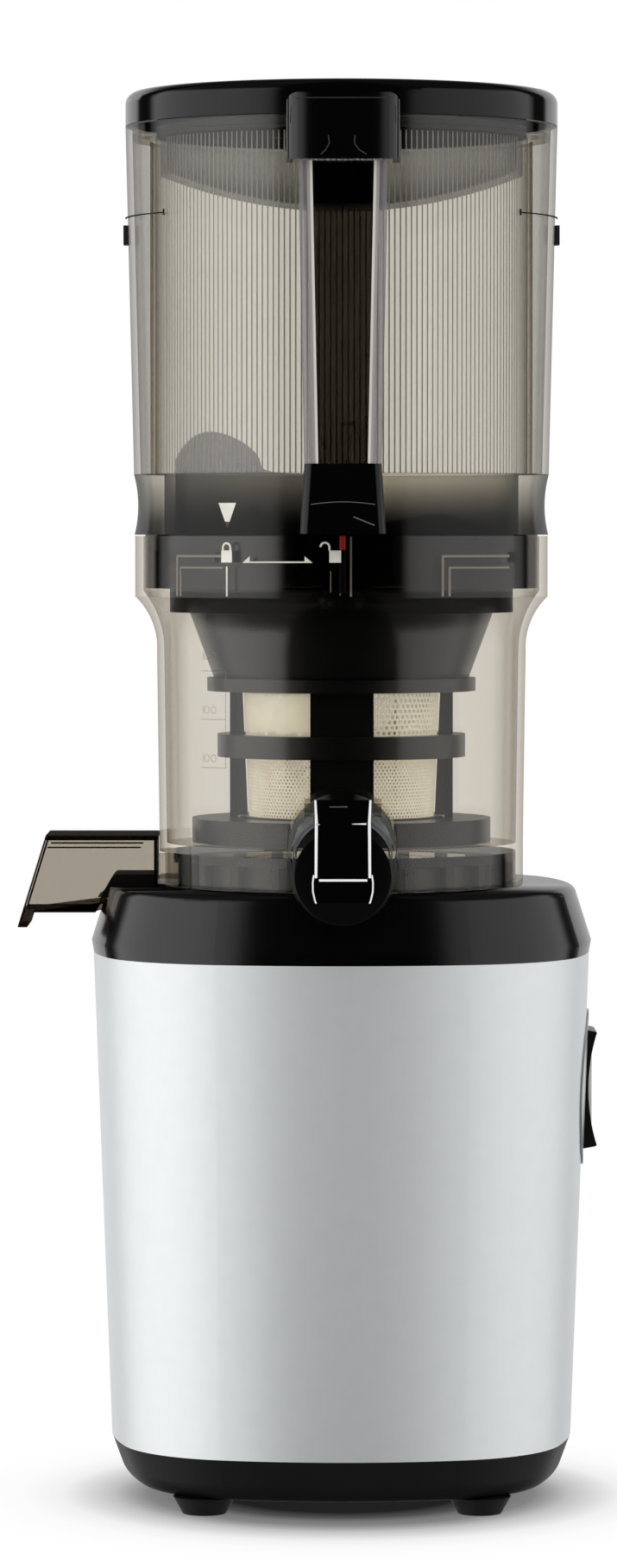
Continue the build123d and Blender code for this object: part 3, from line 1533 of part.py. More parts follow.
with BuildPart() as lid:
    revolve(
        half_section(
            (0, lid_top),
            (lid_radius, lid_top),
            (lid_radius, lid_bottom),
            (lid_radius - lid_wall, lid_bottom),
            (lid_radius - lid_wall, lid_top - lid_wall),
            (plug_radius, lid_top - lid_wall),
            (plug_radius, lid_bottom),
            (plug_radius - lid_wall, lid_bottom),
            (plug_radius - lid_wall, lid_top - lid_wall),
            (0, lid_top - lid_wall),
        ),
        axis=Axis.Z,
    )
    fillet(lid.faces().sort_by(Axis.Z)[-1].edges(), lid_edge_round)
    # hinge knuckle at the back and latch ears at the front
    with Locations((0, hinge_behind, hinge_height)):
        Cylinder(hinge_barrel_radius, 2 * hinge_knuckle_half, rotation=(0, 90, 0))
    with Locations((0, lid_radius - lid_wall / 2, lid_bottom)):
        Box(
            2 * hinge_knuckle_half,
            hinge_offset + lid_wall / 2,
            hinge_rise + hinge_barrel_radius,
            align=(Align.CENTER, Align.MIN, Align.MIN),
        )
    with Locations((0, hinge_behind, hinge_height)):
        Cylinder(hinge_pin_radius + running_gap, beyond, rotation=(0, 90, 0), mode=Mode.SUBTRACT)
    ear_inside = latch_width / 2 - latch_wall - side_gap - latch_ear_width
    ear_top = latch_top - latch_wall - side_gap
    for side in (-1, 1):
        with BuildSketch(Plane.YZ.offset(side * (ear_inside + latch_ear_width / 2))):
            with Locations((-latch_pin_distance, latch_pin_height)):
                Circle(latch_ear_radius)
            with BuildLine():
                Polyline(
                    (-latch_pin_distance - latch_ear_radius, latch_pin_height),
                    (-hopper_top_radius - side_gap, latch_pin_height),
                    (-hopper_top_radius - side_gap, lid_bottom + side_gap),
                    (-lid_radius + lid_wall, lid_bottom + side_gap),
                    (-lid_radius + lid_wall, ear_top),
                    (-latch_pin_distance - latch_ear_radius + weld, ear_top),
                    close=True,
                )
            make_face()
            with Locations((-latch_pin_distance, latch_pin_height)):
                Circle(latch_pin_radius + fit_gap, mode=Mode.SUBTRACT)
        extrude(amount=latch_ear_width / 2, both=True)

with BuildPart() as lid_plug:
    with BuildSketch(Plane.XZ):
        with BuildLine():
            Line((plug_radius, lid_bottom), (plug_radius, plug_side_bottom))
            RadiusArc(
                (plug_radius, plug_side_bottom),
                (0, plug_centre_bottom),
                (plug_radius**2 + (plug_side_bottom - plug_centre_bottom) ** 2)
                / (2 * (plug_side_bottom - plug_centre_bottom)),
            )
            Polyline(
                (0, plug_centre_bottom),
                (0, lid_bottom),
                (plug_radius, lid_bottom),
            )
        make_face()
    revolve(axis=Axis.Z)
    hollow_radius = plug_radius - plug_wall
    with BuildSketch(Plane.XZ):
        with BuildLine():
            Line((hollow_radius, lid_bottom), (hollow_radius, plug_side_bottom + plug_wall))
            RadiusArc(
                (hollow_radius, plug_side_bottom + plug_wall),
                (0, plug_centre_bottom + plug_wall),
                (hollow_radius**2 + (plug_side_bottom - plug_centre_bottom) ** 2)
                / (2 * (plug_side_bottom - plug_centre_bottom)),
            )
            Polyline(
                (0, plug_centre_bottom + plug_wall),
                (0, lid_bottom),
                (hollow_radius, lid_bottom),
            )
        make_face()
    revolve(axis=Axis.Z, mode=Mode.SUBTRACT)

with BuildPart() as lid_gasket:
    gasket_top = lid_bottom - gasket_drop
    revolve(
        tube(plug_radius + gasket_proud, plug_radius + fit_gap, gasket_top - gasket_height, gasket_top),
        axis=Axis.Z,
    )

with BuildPart() as lid_hinge_pin:
    with Locations((0, hinge_behind, hinge_height)):
        Cylinder(
            hinge_pin_radius, 2 * (hinge_knuckle_half + side_gap + hinge_knuckle_width), rotation=(0, 90, 0)
        )

with BuildPart() as lid_latch:
    latch_back = latch_pin_distance + latch_ear_radius + weld
    with BuildSketch(Plane.XZ.offset(latch_back)):
        with Locations((0, latch_bottom)):
            Rectangle(latch_width, latch_height, align=(Align.CENTER, Align.MIN))
    extrude(amount=latch_front - latch_back)
    fillet(
        lid_latch.edges().filter_by(Axis.Y).group_by(Axis.Z)[-1]
        + lid_latch.edges().filter_by(Axis.Z).group_by(Axis.Y)[0],
        latch_corner,
    )
    with BuildSketch(Plane.XZ.offset(latch_back - weld)):
        with Locations((0, latch_bottom - weld)):
            Rectangle(
                latch_width - 2 * latch_wall,
                latch_height - latch_wall + weld,
                align=(Align.CENTER, Align.MIN),
            )
    extrude(amount=latch_front - latch_back - latch_wall + weld, mode=Mode.SUBTRACT)
    # cheeks that reach back to the pin
    for side in (-1, 1):
        with BuildSketch(Plane.YZ.offset(side * (latch_width - latch_wall) / 2)):
            with BuildLine():
                Polyline(
                    (-latch_back - latch_cheek_root, latch_pin_height - 2 * latch_ear_radius),
                    (-latch_pin_distance, latch_pin_height - latch_ear_radius),
                    (-latch_pin_distance, latch_pin_height + latch_ear_radius),
                    (-latch_back - latch_cheek_root, latch_top - latch_corner),
                    close=True,
                )
            make_face()
            with Locations((-latch_pin_distance, latch_pin_height)):
                Circle(latch_ear_radius)
            with Locations((-latch_pin_distance, latch_pin_height)):
                Circle(latch_pin_radius + running_gap, mode=Mode.SUBTRACT)
        extrude(amount=latch_wall / 2, both=True)

with BuildPart() as latch_pin:
    with Locations((0, -latch_pin_distance, latch_pin_height)):
        Cylinder(latch_pin_radius, latch_width, rotation=(0, 90, 0))

# ---------------------------------------------------------------- write every piece

pieces = {
    "base_housing": base_housing,
    "top_cover": top_cover,
    "bottom_cover": bottom_cover,
    "rubber_feet": rubber_feet,
    "base_screws": base_screws,
    "cover_screws": cover_screws,
    "cord_gland": cord_gland,
    "switch_bezel": switch_bezel,
    "switch_body": switch_body,
    "switch_rocker": switch_rocker,
    "switch_pivot": switch_pivot,
    "gearbox_housing": gearbox_housing,
    "gearbox_lid": gearbox_lid,
    "gearbox_screws": gearbox_screws,
    "intermediate_axle": intermediate_axle,
    "intermediate_gear": intermediate_gear,
    "output_gear": output_gear,
    "output_shaft": output_shaft,
    "output_bearings": output_bearings,
    "shaft_seal": shaft_seal,
    "motor_can": motor_can,
    "motor_end_cap": motor_end_cap,
    "motor_bearings": motor_bearings,
    "stator_core": stator_core,
    "coil_windings": coil_windings,
    "motor_rotor": motor_rotor,
    "motor_shaft": motor_shaft,
    "cooling_fan": cooling_fan,
    "circuit_board": circuit_board,
    "interlock_switch": interlock_switch,
    "juice_bowl": juice_bowl,
    "lock_indicator": lock_indicator,
    "bowl_base_ring": bowl_base_ring,
    "bowl_seal": bowl_seal,
    "pulp_chute": pulp_chute,
    "pulp_plug": pulp_plug,
    "strainer_funnel": strainer_funnel,
    "strainer_screen": strainer_screen,
    "strainer_base": strainer_base,
    "brush_frame": brush_frame,
    "brush_wipers": brush_wipers,
    "brush_idler": brush_idler,
    "auger": auger,
    "auger_blade": auger_blade,
    "juice_cap": juice_cap,
    "cap_seal": cap_seal,
    "cap_hinge_pin": cap_hinge_pin,
    "hopper_ring": hopper_ring,
    "hopper_wall": hopper_wall,
    "hopper_liner": hopper_liner,
    "side_clips": side_clips,
    "hopper_handle": hopper_handle,
    "handle_foot": handle_foot,
    "lid": lid,
    "lid_plug": lid_plug,
    "lid_gasket": lid_gasket,
    "lid_hinge_pin": lid_hinge_pin,
    "lid_latch": lid_latch,
    "latch_pin": latch_pin,
}

for name, piece in pieces.items():
    piece.part.label = name
    export_step(piece.part, f"parts/{name}.step")
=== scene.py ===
import json
import math

import bmesh
import bpy
from mathutils import Matrix, Vector


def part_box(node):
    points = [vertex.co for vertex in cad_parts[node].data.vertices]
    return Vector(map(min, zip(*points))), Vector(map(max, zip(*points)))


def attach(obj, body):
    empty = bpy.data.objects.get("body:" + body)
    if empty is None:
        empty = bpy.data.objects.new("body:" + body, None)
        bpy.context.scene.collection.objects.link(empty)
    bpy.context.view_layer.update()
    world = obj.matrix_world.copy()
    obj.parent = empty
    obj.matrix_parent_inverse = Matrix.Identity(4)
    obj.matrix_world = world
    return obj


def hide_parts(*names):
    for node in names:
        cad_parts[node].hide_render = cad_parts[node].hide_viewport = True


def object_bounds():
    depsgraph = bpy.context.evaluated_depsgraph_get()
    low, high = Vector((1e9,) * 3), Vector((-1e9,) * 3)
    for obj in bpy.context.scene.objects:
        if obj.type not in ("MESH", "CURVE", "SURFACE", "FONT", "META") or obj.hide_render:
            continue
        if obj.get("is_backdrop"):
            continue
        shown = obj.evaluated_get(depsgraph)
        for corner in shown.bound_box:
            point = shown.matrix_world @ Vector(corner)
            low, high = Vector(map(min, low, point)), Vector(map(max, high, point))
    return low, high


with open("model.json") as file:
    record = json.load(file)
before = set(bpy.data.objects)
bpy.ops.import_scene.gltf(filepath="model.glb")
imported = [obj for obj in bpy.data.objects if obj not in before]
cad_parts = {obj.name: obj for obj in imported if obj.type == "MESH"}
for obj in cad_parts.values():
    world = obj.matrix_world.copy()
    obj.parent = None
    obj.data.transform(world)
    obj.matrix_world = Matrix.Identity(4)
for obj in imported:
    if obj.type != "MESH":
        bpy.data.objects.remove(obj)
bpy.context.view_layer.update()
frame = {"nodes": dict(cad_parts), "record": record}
nodes = frame["nodes"]

# Cold press juicer. Everything is in metres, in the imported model's frame: +Z up, front towards -Y.
# Flat marks are outlines of (x, z) or (arc, z) points in millimetres, which their piece scales.

MM = 0.001


def outer(node):
    """Radius of a round node about the drive axis."""
    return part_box(node)[1].x


# ---------------------------------------------------------------- colours and node trees


def srgb(red, green, blue):
    """A displayed colour (0-255) as the linear colour that a shader takes."""
    return tuple(
        value / 255 / 12.92 if value <= 10 else ((value / 255 + 0.055) / 1.055) ** 2.4
        for value in (red, green, blue)
    ) + (1.0,)


def grey(level):
    return (level, level, level, 1)


def shade(colour, factor):
    """A colour made lighter or darker by a factor."""
    return tuple(min(1.0, channel * factor) for channel in colour[:3]) + (1.0,)


class Shader:
    """The node tree of a material or a world, with short calls for the nodes used here."""

    def __init__(self, owner, output="OutputMaterial"):
        owner.use_nodes = True
        self.owner = owner
        self.tree = owner.node_tree
        self.tree.nodes.clear()
        self.output = self.node(output)

    def node(self, kind, **settings):
        made = self.tree.nodes.new("ShaderNode" + kind)
        for key, value in settings.items():
            setattr(made, key, value)
        return made

    def link(self, start, end):
        self.tree.links.new(start, end)

    def coloured(self, kind, colour):
        """A plain shader with one colour all over, or with another node's colour."""
        made = self.node(kind)
        if isinstance(colour, bpy.types.NodeSocket):
            self.link(colour, made.inputs["Color"])
        else:
            made.inputs["Color"].default_value = colour
        return made

    def calculate(self, operation, *values, kind="Math", result="Value"):
        """A sum on other nodes' outputs and plain values."""
        made = self.node(kind, operation=operation)
        for socket, value in zip(made.inputs, values):
            if isinstance(value, bpy.types.NodeSocket):
                self.link(value, socket)
            else:
                socket.default_value = value
        return made.outputs[result]

    def split(self, vector):
        """The X, Y and Z of a vector."""
        axes = self.node("SeparateXYZ")
        self.link(vector, axes.inputs["Vector"])
        return axes.outputs

    def noise(self, scale, detail=3.0, stretch=(1, 1, 1)):
        """Noise in the object's own metres; scale is in features per metre."""
        where = self.node("TexCoord")
        mapping = self.node("Mapping")
        mapping.inputs["Scale"].default_value = stretch
        noise = self.node("TexNoise")
        noise.inputs["Scale"].default_value = scale
        noise.inputs["Detail"].default_value = detail
        self.link(where.outputs["Object"], mapping.inputs["Vector"])
        self.link(mapping.outputs["Vector"], noise.inputs["Vector"])
        return noise.outputs["Fac"]

    def ramp(self, factor, *stops):
        """Colour ramp from (position, colour) stops."""
        ramp = self.node("ValToRGB")
        elements = ramp.color_ramp.elements
        while len(elements) < len(stops):
            elements.new(0.5)
        for element, (position, colour) in zip(elements, stops):
            element.position = position
            element.color = colour
        self.link(factor, ramp.inputs["Fac"])
        return ramp.outputs["Color"]

    def mottled(self, colour, spread, scale):
        """A colour that varies a little in soft clouds."""
        return self.ramp(
            self.noise(scale), (0.3, shade(colour, 1 - spread)), (0.7, shade(colour, 1 + spread))
        )

    def varied(self, noise, value, spread):
        """A value that a noise moves up and down by a share of itself."""
        return self.scaled(noise, value * (1 - spread), value * (1 + spread))

    def scaled(self, value, low, high, start=0.0, end=1.0, **settings):
        """A value between start and end, mapped to low-high."""
        mapped = self.node("MapRange", **settings)
        mapped.inputs["From Min"].default_value = start
        mapped.inputs["From Max"].default_value = end
        mapped.inputs["To Min"].default_value = low
        mapped.inputs["To Max"].default_value = high
        self.link(value, mapped.inputs["Value"])
        return mapped.outputs["Result"]

    def product(self, first, second):
        """Two colours multiplied."""
        mixed = self.node("Mix", data_type="RGBA", blend_type="MULTIPLY")
        mixed.inputs[0].default_value = 1.0
        self.link(first, mixed.inputs[6])
        self.link(second, mixed.inputs[7])
        return mixed.outputs[2]

    def blend(self, share, first, second):
        """Two shaders mixed: the first at share 0, the second at share 1."""
        mixed = self.node("MixShader")
        for start, end in zip((share, first, second), mixed.inputs):
            self.link(start, end)
        return mixed.outputs["Shader"]

    def bump(self, height, distance):
        bump = self.node("Bump")
        bump.inputs["Distance"].default_value = distance
        self.link(height, bump.inputs["Height"])
        return bump.outputs["Normal"]

    def pillowed(self, swell):
        """The surface's normal turned a little outwards with the distance from the drive axis."""
        where = self.node("TexCoord").outputs
        vectors = {"kind": "VectorMath", "result": "Vector"}
        outward = self.calculate("MULTIPLY_ADD", where["Object"], swell, where["Normal"], **vectors)
        return self.calculate("NORMALIZE", outward, **vectors)

    def facing(self):
        """0 where the surface faces the eye, 1 where it is seen edge on."""
        weight = self.node("LayerWeight")
        weight.inputs["Blend"].default_value = 0.5
        return weight.outputs["Facing"]

    def end(self, surface):
        """Ends the tree with a shader and gives back what it belongs to."""
        self.link(surface, self.output.inputs["Surface"])
        return self.owner


# ---------------------------------------------------------------- kinds of finish

FINISHES = {}
CLOUD_SIZE = 30  # how much larger the clouds of colour are than the grain
UNEVEN = 0.15  # how far roughness and haze vary
CLEAR_UNEVEN = 0.2
CLEAR_CLOUDS = 40
TUBE_CLOUDS = 120
FACE_MIRROR = 0.042  # what a clear wall mirrors when it faces the eye
MIRROR_POWER = 5.0
TINT_STOPS = (0.0, 0.6, 0.97)  # from facing the eye to edge on
MIDDLE_TINT = 0.12  # how far the tint has gone from face to edge at the middle stop
TUBE_BAND = ((0.34, grey(0.06)), (0.56, grey(0.85)))
TUBE_FLANK = ((0.2, grey(0)), (0.55, grey(1)))


def solid(
    name,
    colour,
    roughness,
    grain=900,
    stretch=(1, 1, 1),
    spread=0.12,
    relief=0.02 * MM,
    swell=None,
    **sockets,
):
    """An opaque finish: colour and roughness vary a little, with a grain that shows in relief."""
    shader = Shader(bpy.data.materials.new(name))
    surface = shader.node("BsdfPrincipled")
    grains = shader.noise(grain, stretch=stretch)
    shader.link(shader.mottled(colour, spread, grain / CLOUD_SIZE), surface.inputs["Base Color"])
    shader.link(shader.varied(grains, roughness, UNEVEN), surface.inputs["Roughness"])
    if swell:
        shader.link(shader.pillowed(swell), surface.inputs["Normal"])
    elif relief:
        shader.link(shader.bump(grains, relief), surface.inputs["Normal"])
    for socket, value in sockets.items():
        surface.inputs[socket.replace("_", " ")].default_value = value
    FINISHES[name] = shader.end(surface.outputs["BSDF"])


def see_through(
    name,
    face,
    edge,
    gloss=1.0,
    roughness=0.03,
    haze=0.0,
    haze_colour=grey(0.5),
    rim=0.5,
    pattern=(),
):
    """A clear shell: light goes straight through, tinted more where the wall is seen edge on.

    A pattern is a run of (height, level) stops that darken it from its foot (0) to its top (1).
    """
    shader = Shader(bpy.data.materials.new(name))
    facing = shader.facing()
    clouds = shader.noise(CLEAR_CLOUDS)
    middle = tuple(a + (b - a) * MIDDLE_TINT for a, b in zip(face, edge))
    tint = shader.ramp(facing, *((at, c + (1,)) for at, c in zip(TINT_STOPS, (face, middle, edge))))
    if pattern:
        up = shader.split(shader.node("TexCoord").outputs["Generated"])["Z"]
        levels = shader.ramp(up, *((height, grey(level)) for height, level in pattern))
        tint = shader.product(tint, levels)
    body = shader.coloured("BsdfTransparent", tint).outputs["BSDF"]
    if haze:
        milk = shader.coloured("BsdfDiffuse", haze_colour).outputs["BSDF"]
        body = shader.blend(shader.varied(clouds, haze, UNEVEN), body, milk)
    mirror = shader.node("BsdfGlossy")
    shader.link(shader.varied(clouds, roughness, CLEAR_UNEVEN), mirror.inputs["Roughness"])
    slope = shader.calculate("POWER", facing, MIRROR_POWER)
    reflected = shader.calculate("MULTIPLY_ADD", slope, rim * gloss, FACE_MIRROR * gloss)
    FINISHES[name] = shader.end(shader.blend(reflected, body, mirror.outputs["BSDF"]))


def tube_wall(name, colour):
    """A clear tube: see-through, with a painted sheen as a milky band where its flanks are seen edge
    on.
    """
    shader = Shader(bpy.data.materials.new(name))
    band = shader.ramp(shader.facing(), *TUBE_BAND)
    sideways = shader.split(shader.node("TexCoord").outputs["Normal"])["X"]
    flank = shader.ramp(shader.calculate("ABSOLUTE", sideways), *TUBE_FLANK)
    kept = shader.calculate("MULTIPLY", band, flank)
    through = shader.node("BsdfTransparent").outputs["BSDF"]
    clouds = shader.mottled(colour, UNEVEN, TUBE_CLOUDS)
    milk = shader.coloured("BsdfDiffuse", clouds).outputs["BSDF"]
    FINISHES[name] = shader.end(shader.blend(kept, through, milk))


# ---------------------------------------------------------------- finishes of the material slots

BLACK = srgb(4, 4, 5)

solid(
    "silver_metal",
    srgb(231, 234, 235),
    0.48,
    grain=5000,
    spread=0.012,
    swell=(20, 20, 0),
    Metallic=0.545,
)
solid("black_gloss", BLACK, 0.09, grain=300, relief=0.0, Specular_IOR_Level=0.32)
solid("black_matte", srgb(28, 28, 29), 0.5, grain=2500)
see_through("clear_plastic", (0.905, 0.892, 0.865), (0.62, 0.57, 0.50))
see_through("smoke_plastic", (0.80, 0.78, 0.74), (0.30, 0.27, 0.23))
see_through(
    "ribbed_plastic",
    (0.99, 0.985, 0.97),
    (0.35, 0.32, 0.28),
    haze=0.03,
    haze_colour=srgb(225, 218, 200),
    rim=0.2,
)
solid("grey_plastic", srgb(11, 12, 13), 0.3, grain=1500, relief=0.0)
solid("silver_plastic", srgb(160, 160, 157), 0.4, grain=2000)
solid("white_nylon", srgb(225, 222, 212), 0.45, grain=1200)
solid("red_plastic", srgb(190, 28, 20), 0.35, grain=1200)
solid("black_rubber", srgb(22, 22, 22), 0.65, grain=2500)
solid("silicone", srgb(30, 30, 30), 0.55, grain=1500)
solid("steel", srgb(190, 190, 188), 0.28, grain=3000, stretch=(1, 1, 12), Metallic=1.0)
# painted light: the screen glows a little through its emission, though it is no lamp, to brighten
# the cream screen inside the bowl
solid(
    "screen_steel",
    srgb(252, 243, 222),
    0.45,
    grain=3000,
    Metallic=0.1,
    Emission_Color=srgb(250, 240, 218),
    Emission_Strength=0.32,
)
solid("cast_aluminium", srgb(185, 185, 184), 0.5, grain=1800, relief=0.06 * MM, Metallic=0.9)
solid("core_steel", srgb(92, 92, 92), 0.5, grain=2000, stretch=(1, 1, 9), Metallic=0.8)
solid("copper", srgb(176, 106, 62), 0.35, grain=1500, stretch=(1, 1, 8), Metallic=0.9)
solid("board_green", srgb(24, 92, 52), 0.4, grain=1800)

# ---------------------------------------------------------------- finishes of single pieces

see_through("liner_ribs", (0.985, 0.98, 0.965), (0.58, 0.56, 0.52), gloss=0.0)
see_through("shell_smoke", (0.905, 0.90, 0.885), (0.50, 0.48, 0.45), rim=0.35)
see_through("dark_smoke", (0.30, 0.30, 0.285), (0.08, 0.08, 0.07))
see_through("plug_smoke", (0.72, 0.72, 0.72), (0.52, 0.52, 0.51), gloss=0.0)
# painted highlight: a milky, bright finish for the strips down the fronts of the handle rails
see_through(
    "rail_highlight_paint",
    (0.9, 0.89, 0.87),
    (0.6, 0.59, 0.57),
    gloss=2.0,
    haze=0.62,
    haze_colour=srgb(250, 247, 240),
)
see_through(
    "rail_smoke",
    (0.62, 0.61, 0.62),
    (0.25, 0.24, 0.25),
    gloss=1.2,
    haze=0.16,
    haze_colour=srgb(200, 196, 196),
)
see_through("channel_dark", (0.22, 0.20, 0.18), (0.06, 0.055, 0.05))
see_through(
    "ring_smoke",
    (0.72, 0.70, 0.65),
    (0.02, 0.02, 0.018),
    gloss=0.6,
    rim=0.66,
    pattern=((0.45, 0.30), (0.58, 0.40), (0.72, 0.68), (0.94, 1.0)),
)
see_through("blade_smoke", (0.58, 0.58, 0.60), (0.45, 0.45, 0.47), gloss=0.5)
see_through("chute_dark", (0.16, 0.13, 0.11), (0.03, 0.025, 0.02), gloss=0.4, rim=0.08)
see_through(
    "ridge_light", (0.7, 0.69, 0.66), (0.4, 0.38, 0.35), haze=0.3, haze_colour=srgb(214, 208, 194)
)
see_through("pin_clear", (0.92, 0.91, 0.88), (0.6, 0.58, 0.54))
see_through("print_faint", (0.80, 0.79, 0.77), (0.6, 0.6, 0.58))
tube_wall("tube_painted_sheen", srgb(104, 108, 112))
solid("cover_black", BLACK, 0.16, grain=300, swell=(9, 9, 0))
solid("latch_black", BLACK, 0.1, grain=300, swell=(24, 0, 0))
solid("pan_black", srgb(22, 22, 23), 0.5, relief=0.0, Specular_IOR_Level=0.3)
solid("seal_black", srgb(3, 3, 3), 0.5, grain=1500, Specular_IOR_Level=0.2)
solid("rocker_black", srgb(16, 16, 17), 0.3, grain=1500, relief=0.0)
solid("bezel_silver", srgb(205, 207, 207), 0.3, grain=2500, relief=0.0, Metallic=0.7)
# painted highlight, bright, for the lines on the lever
solid("bright_highlight_paint", srgb(250, 250, 250), 0.25, grain=1500, relief=0.0)
# painted highlight, dim, for the faint lines on the lever and the handle foot
solid("dim_highlight_paint", srgb(92, 92, 90), 0.3, grain=1500, relief=0.0)
# painted highlight, faint, for the lines on the latch
solid("faint_highlight_paint", srgb(54, 54, 55), 0.3, grain=1500, relief=0.0)
# painted shade for the strips in the liner's grooves
solid("groove_shade", srgb(164, 158, 147), 0.6, relief=0.0)
solid("pane_olive", srgb(58, 58, 52), 0.35, relief=0.0)
solid("print_cream", srgb(226, 223, 210), 0.6, grain=3000)

# Nodes whose finish differs from that of their material slot
OWN_FINISH = {
    "hopper_wall": "shell_smoke",
    "hopper_ring": "ring_smoke",
    "top_cover": "cover_black",
    "lid_latch": "latch_black",
    "bottom_cover": "pan_black",
    "bowl_base_ring": "dark_smoke",
    "lid_plug": "plug_smoke",
    "auger_blade": "blade_smoke",
    "switch_rocker": "rocker_black",
    "switch_bezel": "bezel_silver",
    "cap_hinge_pin": "pin_clear",
}
for part in frame["record"]["subparts"]:
    materials = nodes[part["node"]].data.materials
    materials.clear()
    materials.append(FINISHES[OWN_FINISH.get(part["node"], part["material_slot"])])

# ---------------------------------------------------------------- mesh helpers

SHARP_ANGLE = 35  # degrees; edges that turn more than this stay sharp or take the bevel
BEVEL_STEPS = 3


def piece(name, mesh, finish, body, stands_for=(), sharp=SHARP_ANGLE, bevel=0.0):
    """Wraps a bmesh as a named piece with its finish and the body it rides on."""
    data = bpy.data.meshes.new(name)
    bmesh.ops.recalc_face_normals(mesh, faces=mesh.faces)
    mesh.to_mesh(data)
    mesh.free()
    made = bpy.data.objects.new(name, data)
    bpy.context.scene.collection.objects.link(made)
    data.materials.append(FINISHES[finish])
    if bevel:
        edge = made.modifiers.new("edge", "BEVEL")
        edge.width = bevel
        edge.segments = BEVEL_STEPS
        edge.limit_method = "ANGLE"
        edge.angle_limit = math.radians(sharp)
    for polygon in data.polygons:
        polygon.use_smooth = True
    data.set_sharp_from_angle(angle=math.radians(sharp))
    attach(made, body)
    if stands_for:
        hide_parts(*stands_for)
    return made


def loops_to_mesh(loops, closed_stack=False, caps=False, mesh=None):
    """Skins a stack of equal closed loops of points with quads."""
    mesh = mesh or bmesh.new()
    rows = [[mesh.verts.new(point) for point in loop] for loop in loops]
    count = len(rows[0])
    steps = len(rows) if closed_stack else len(rows) - 1
    for row in range(steps):
        low, high = rows[row], rows[(row + 1) % len(rows)]
        for i in range(count):
            j = (i + 1) % count
            mesh.faces.new((low[i], low[j], high[j], high[i]))
    if caps:
        mesh.faces.new(rows[0])
        mesh.faces.new(list(reversed(rows[-1])))
    return mesh


def polar(radius, angle, z):
    """A point about the drive axis; angle 0 faces the front and grows towards +X."""
    return Vector((radius * math.sin(angle), -radius * math.cos(angle), z))


def block(mesh, centre, size):
    """Adds a box to a mesh."""
    made = bmesh.ops.create_cube(mesh, size=1.0)
    bmesh.ops.scale(mesh, vec=size, verts=made["verts"])
    bmesh.ops.translate(mesh, vec=centre, verts=made["verts"])


def round_bar(mesh, centre, radius, length, turn, axis, steps):
    """Adds an upright round bar, turned about an axis and moved to its centre."""
    made = bmesh.ops.create_cone(
        mesh, cap_ends=True, segments=steps, radius1=radius, radius2=radius, depth=length
    )
    bmesh.ops.rotate(mesh, verts=made["verts"], matrix=Matrix.Rotation(turn, 3, axis))
    bmesh.ops.translate(mesh, verts=made["verts"], vec=centre)


def prism(mesh, outline, place, near, far):
    """Extrudes an outline of (u, v) points between two depths; place(u, v, depth) is a point."""
    ends = [[place(u, v, depth) for u, v in outline] for depth in (near, far)]
    loops_to_mesh(ends, caps=True, mesh=mesh)


def both_sides(*shapes):
    """Flat shapes and their mirror images about the middle plane."""
    return [[(side * u, z) for u, z in shape] for side in (-1, 1) for shape in shapes]


def ribbon(points, width):
    """Quads along a path of (x, z) points, each of the given width."""
    quads = []
    for (x0, z0), (x1, z1) in zip(points, points[1:]):
        half = width / 2 / math.hypot(x1 - x0, z1 - z0)
        dx, dz = -(z1 - z0) * half, (x1 - x0) * half
        quads.append([(x0 + dx, z0 + dz), (x0 - dx, z0 - dz)])
        quads[-1] += [(x1 - dx, z1 - dz), (x1 + dx, z1 + dz)]
    return quads


def bar(u_low, u_high, z_low, z_high, steps=1):
    """A bar as short pieces, so that it follows a curve."""
    width = (u_high - u_low) / steps
    quads = []
    for i in range(steps):
        start, stop = u_low + i * width, u_low + (i + 1) * width
        quads.append([(start, z_low), (stop, z_low), (stop, z_high), (start, z_high)])
    return quads


def arch(u, z, radius, thickness, start, stop, steps=10):
    """A bent bar: part of a ring about (u, z), angles in degrees."""
    inner = radius - thickness
    shapes = []
    for i in range(steps):
        a = math.radians(start + (stop - start) * i / steps)
        b = math.radians(start + (stop - start) * (i + 1) / steps)
        corners = ((radius, a), (radius, b), (inner, b), (inner, a))
        shapes.append([(u + r * math.cos(t), z + r * math.sin(t)) for r, t in corners])
    return shapes


MARK_HEIGHT = 0.12 * MM


def marks(name, shapes, place, finish, body, height=MARK_HEIGHT):
    """A piece of thin flat shapes laid on a surface; place(u, z, height) is a point on it."""
    mesh = bmesh.new()
    for shape in shapes:
        prism(mesh, shape, place, 0.0, height)
    piece(name, mesh, finish, body)


def on_plane(y):
    """Places flat shapes on the upright plane at a depth, growing towards the front."""
    return lambda x, z, depth: Vector((x * MM, y - depth, z * MM))


def on_cylinder(radius):
    """Wraps flat shapes on a cylinder about the drive axis."""
    return lambda u, z, depth: polar(radius + depth, u * MM / radius, z * MM)


def on_node(name):
    """Places flat shapes on a node's front, growing towards the front."""
    target = nodes[name]
    start_y = -0.2

    def place(x, z, depth):
        found = target.ray_cast(Vector((x * MM, start_y, z * MM)), Vector((0, 1, 0)))
        return Vector((x * MM, found[1].y - depth, z * MM))

    return place


# ---------------------------------------------------------------- hopper: ribbed liner

liner_low, liner_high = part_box("hopper_liner")
LINER_RADIUS = 68.5 * MM
LINER_WALL = 1.8 * MM
RIB_COUNT = 208
RIB_STEPS = 8
RIB_DEPTH = 0.75 * MM
RIB_TOP = liner_high.z - 2.2 * MM
RIB_RUNOUT = 0.5 * MM
FLANGE = 2 * MM
LINER_SMOOTH = 50


def rib_loop(radius, depth, z):
    """A circle with round ribs that stand up from grooves of the given depth."""
    columns = RIB_COUNT * RIB_STEPS
    loop = []
    for i in range(columns):
        swell = abs(math.sin(math.pi * i / RIB_STEPS))
        loop.append(polar(radius - depth * (1 - swell), 2 * math.pi * i / columns, z))
    return loop


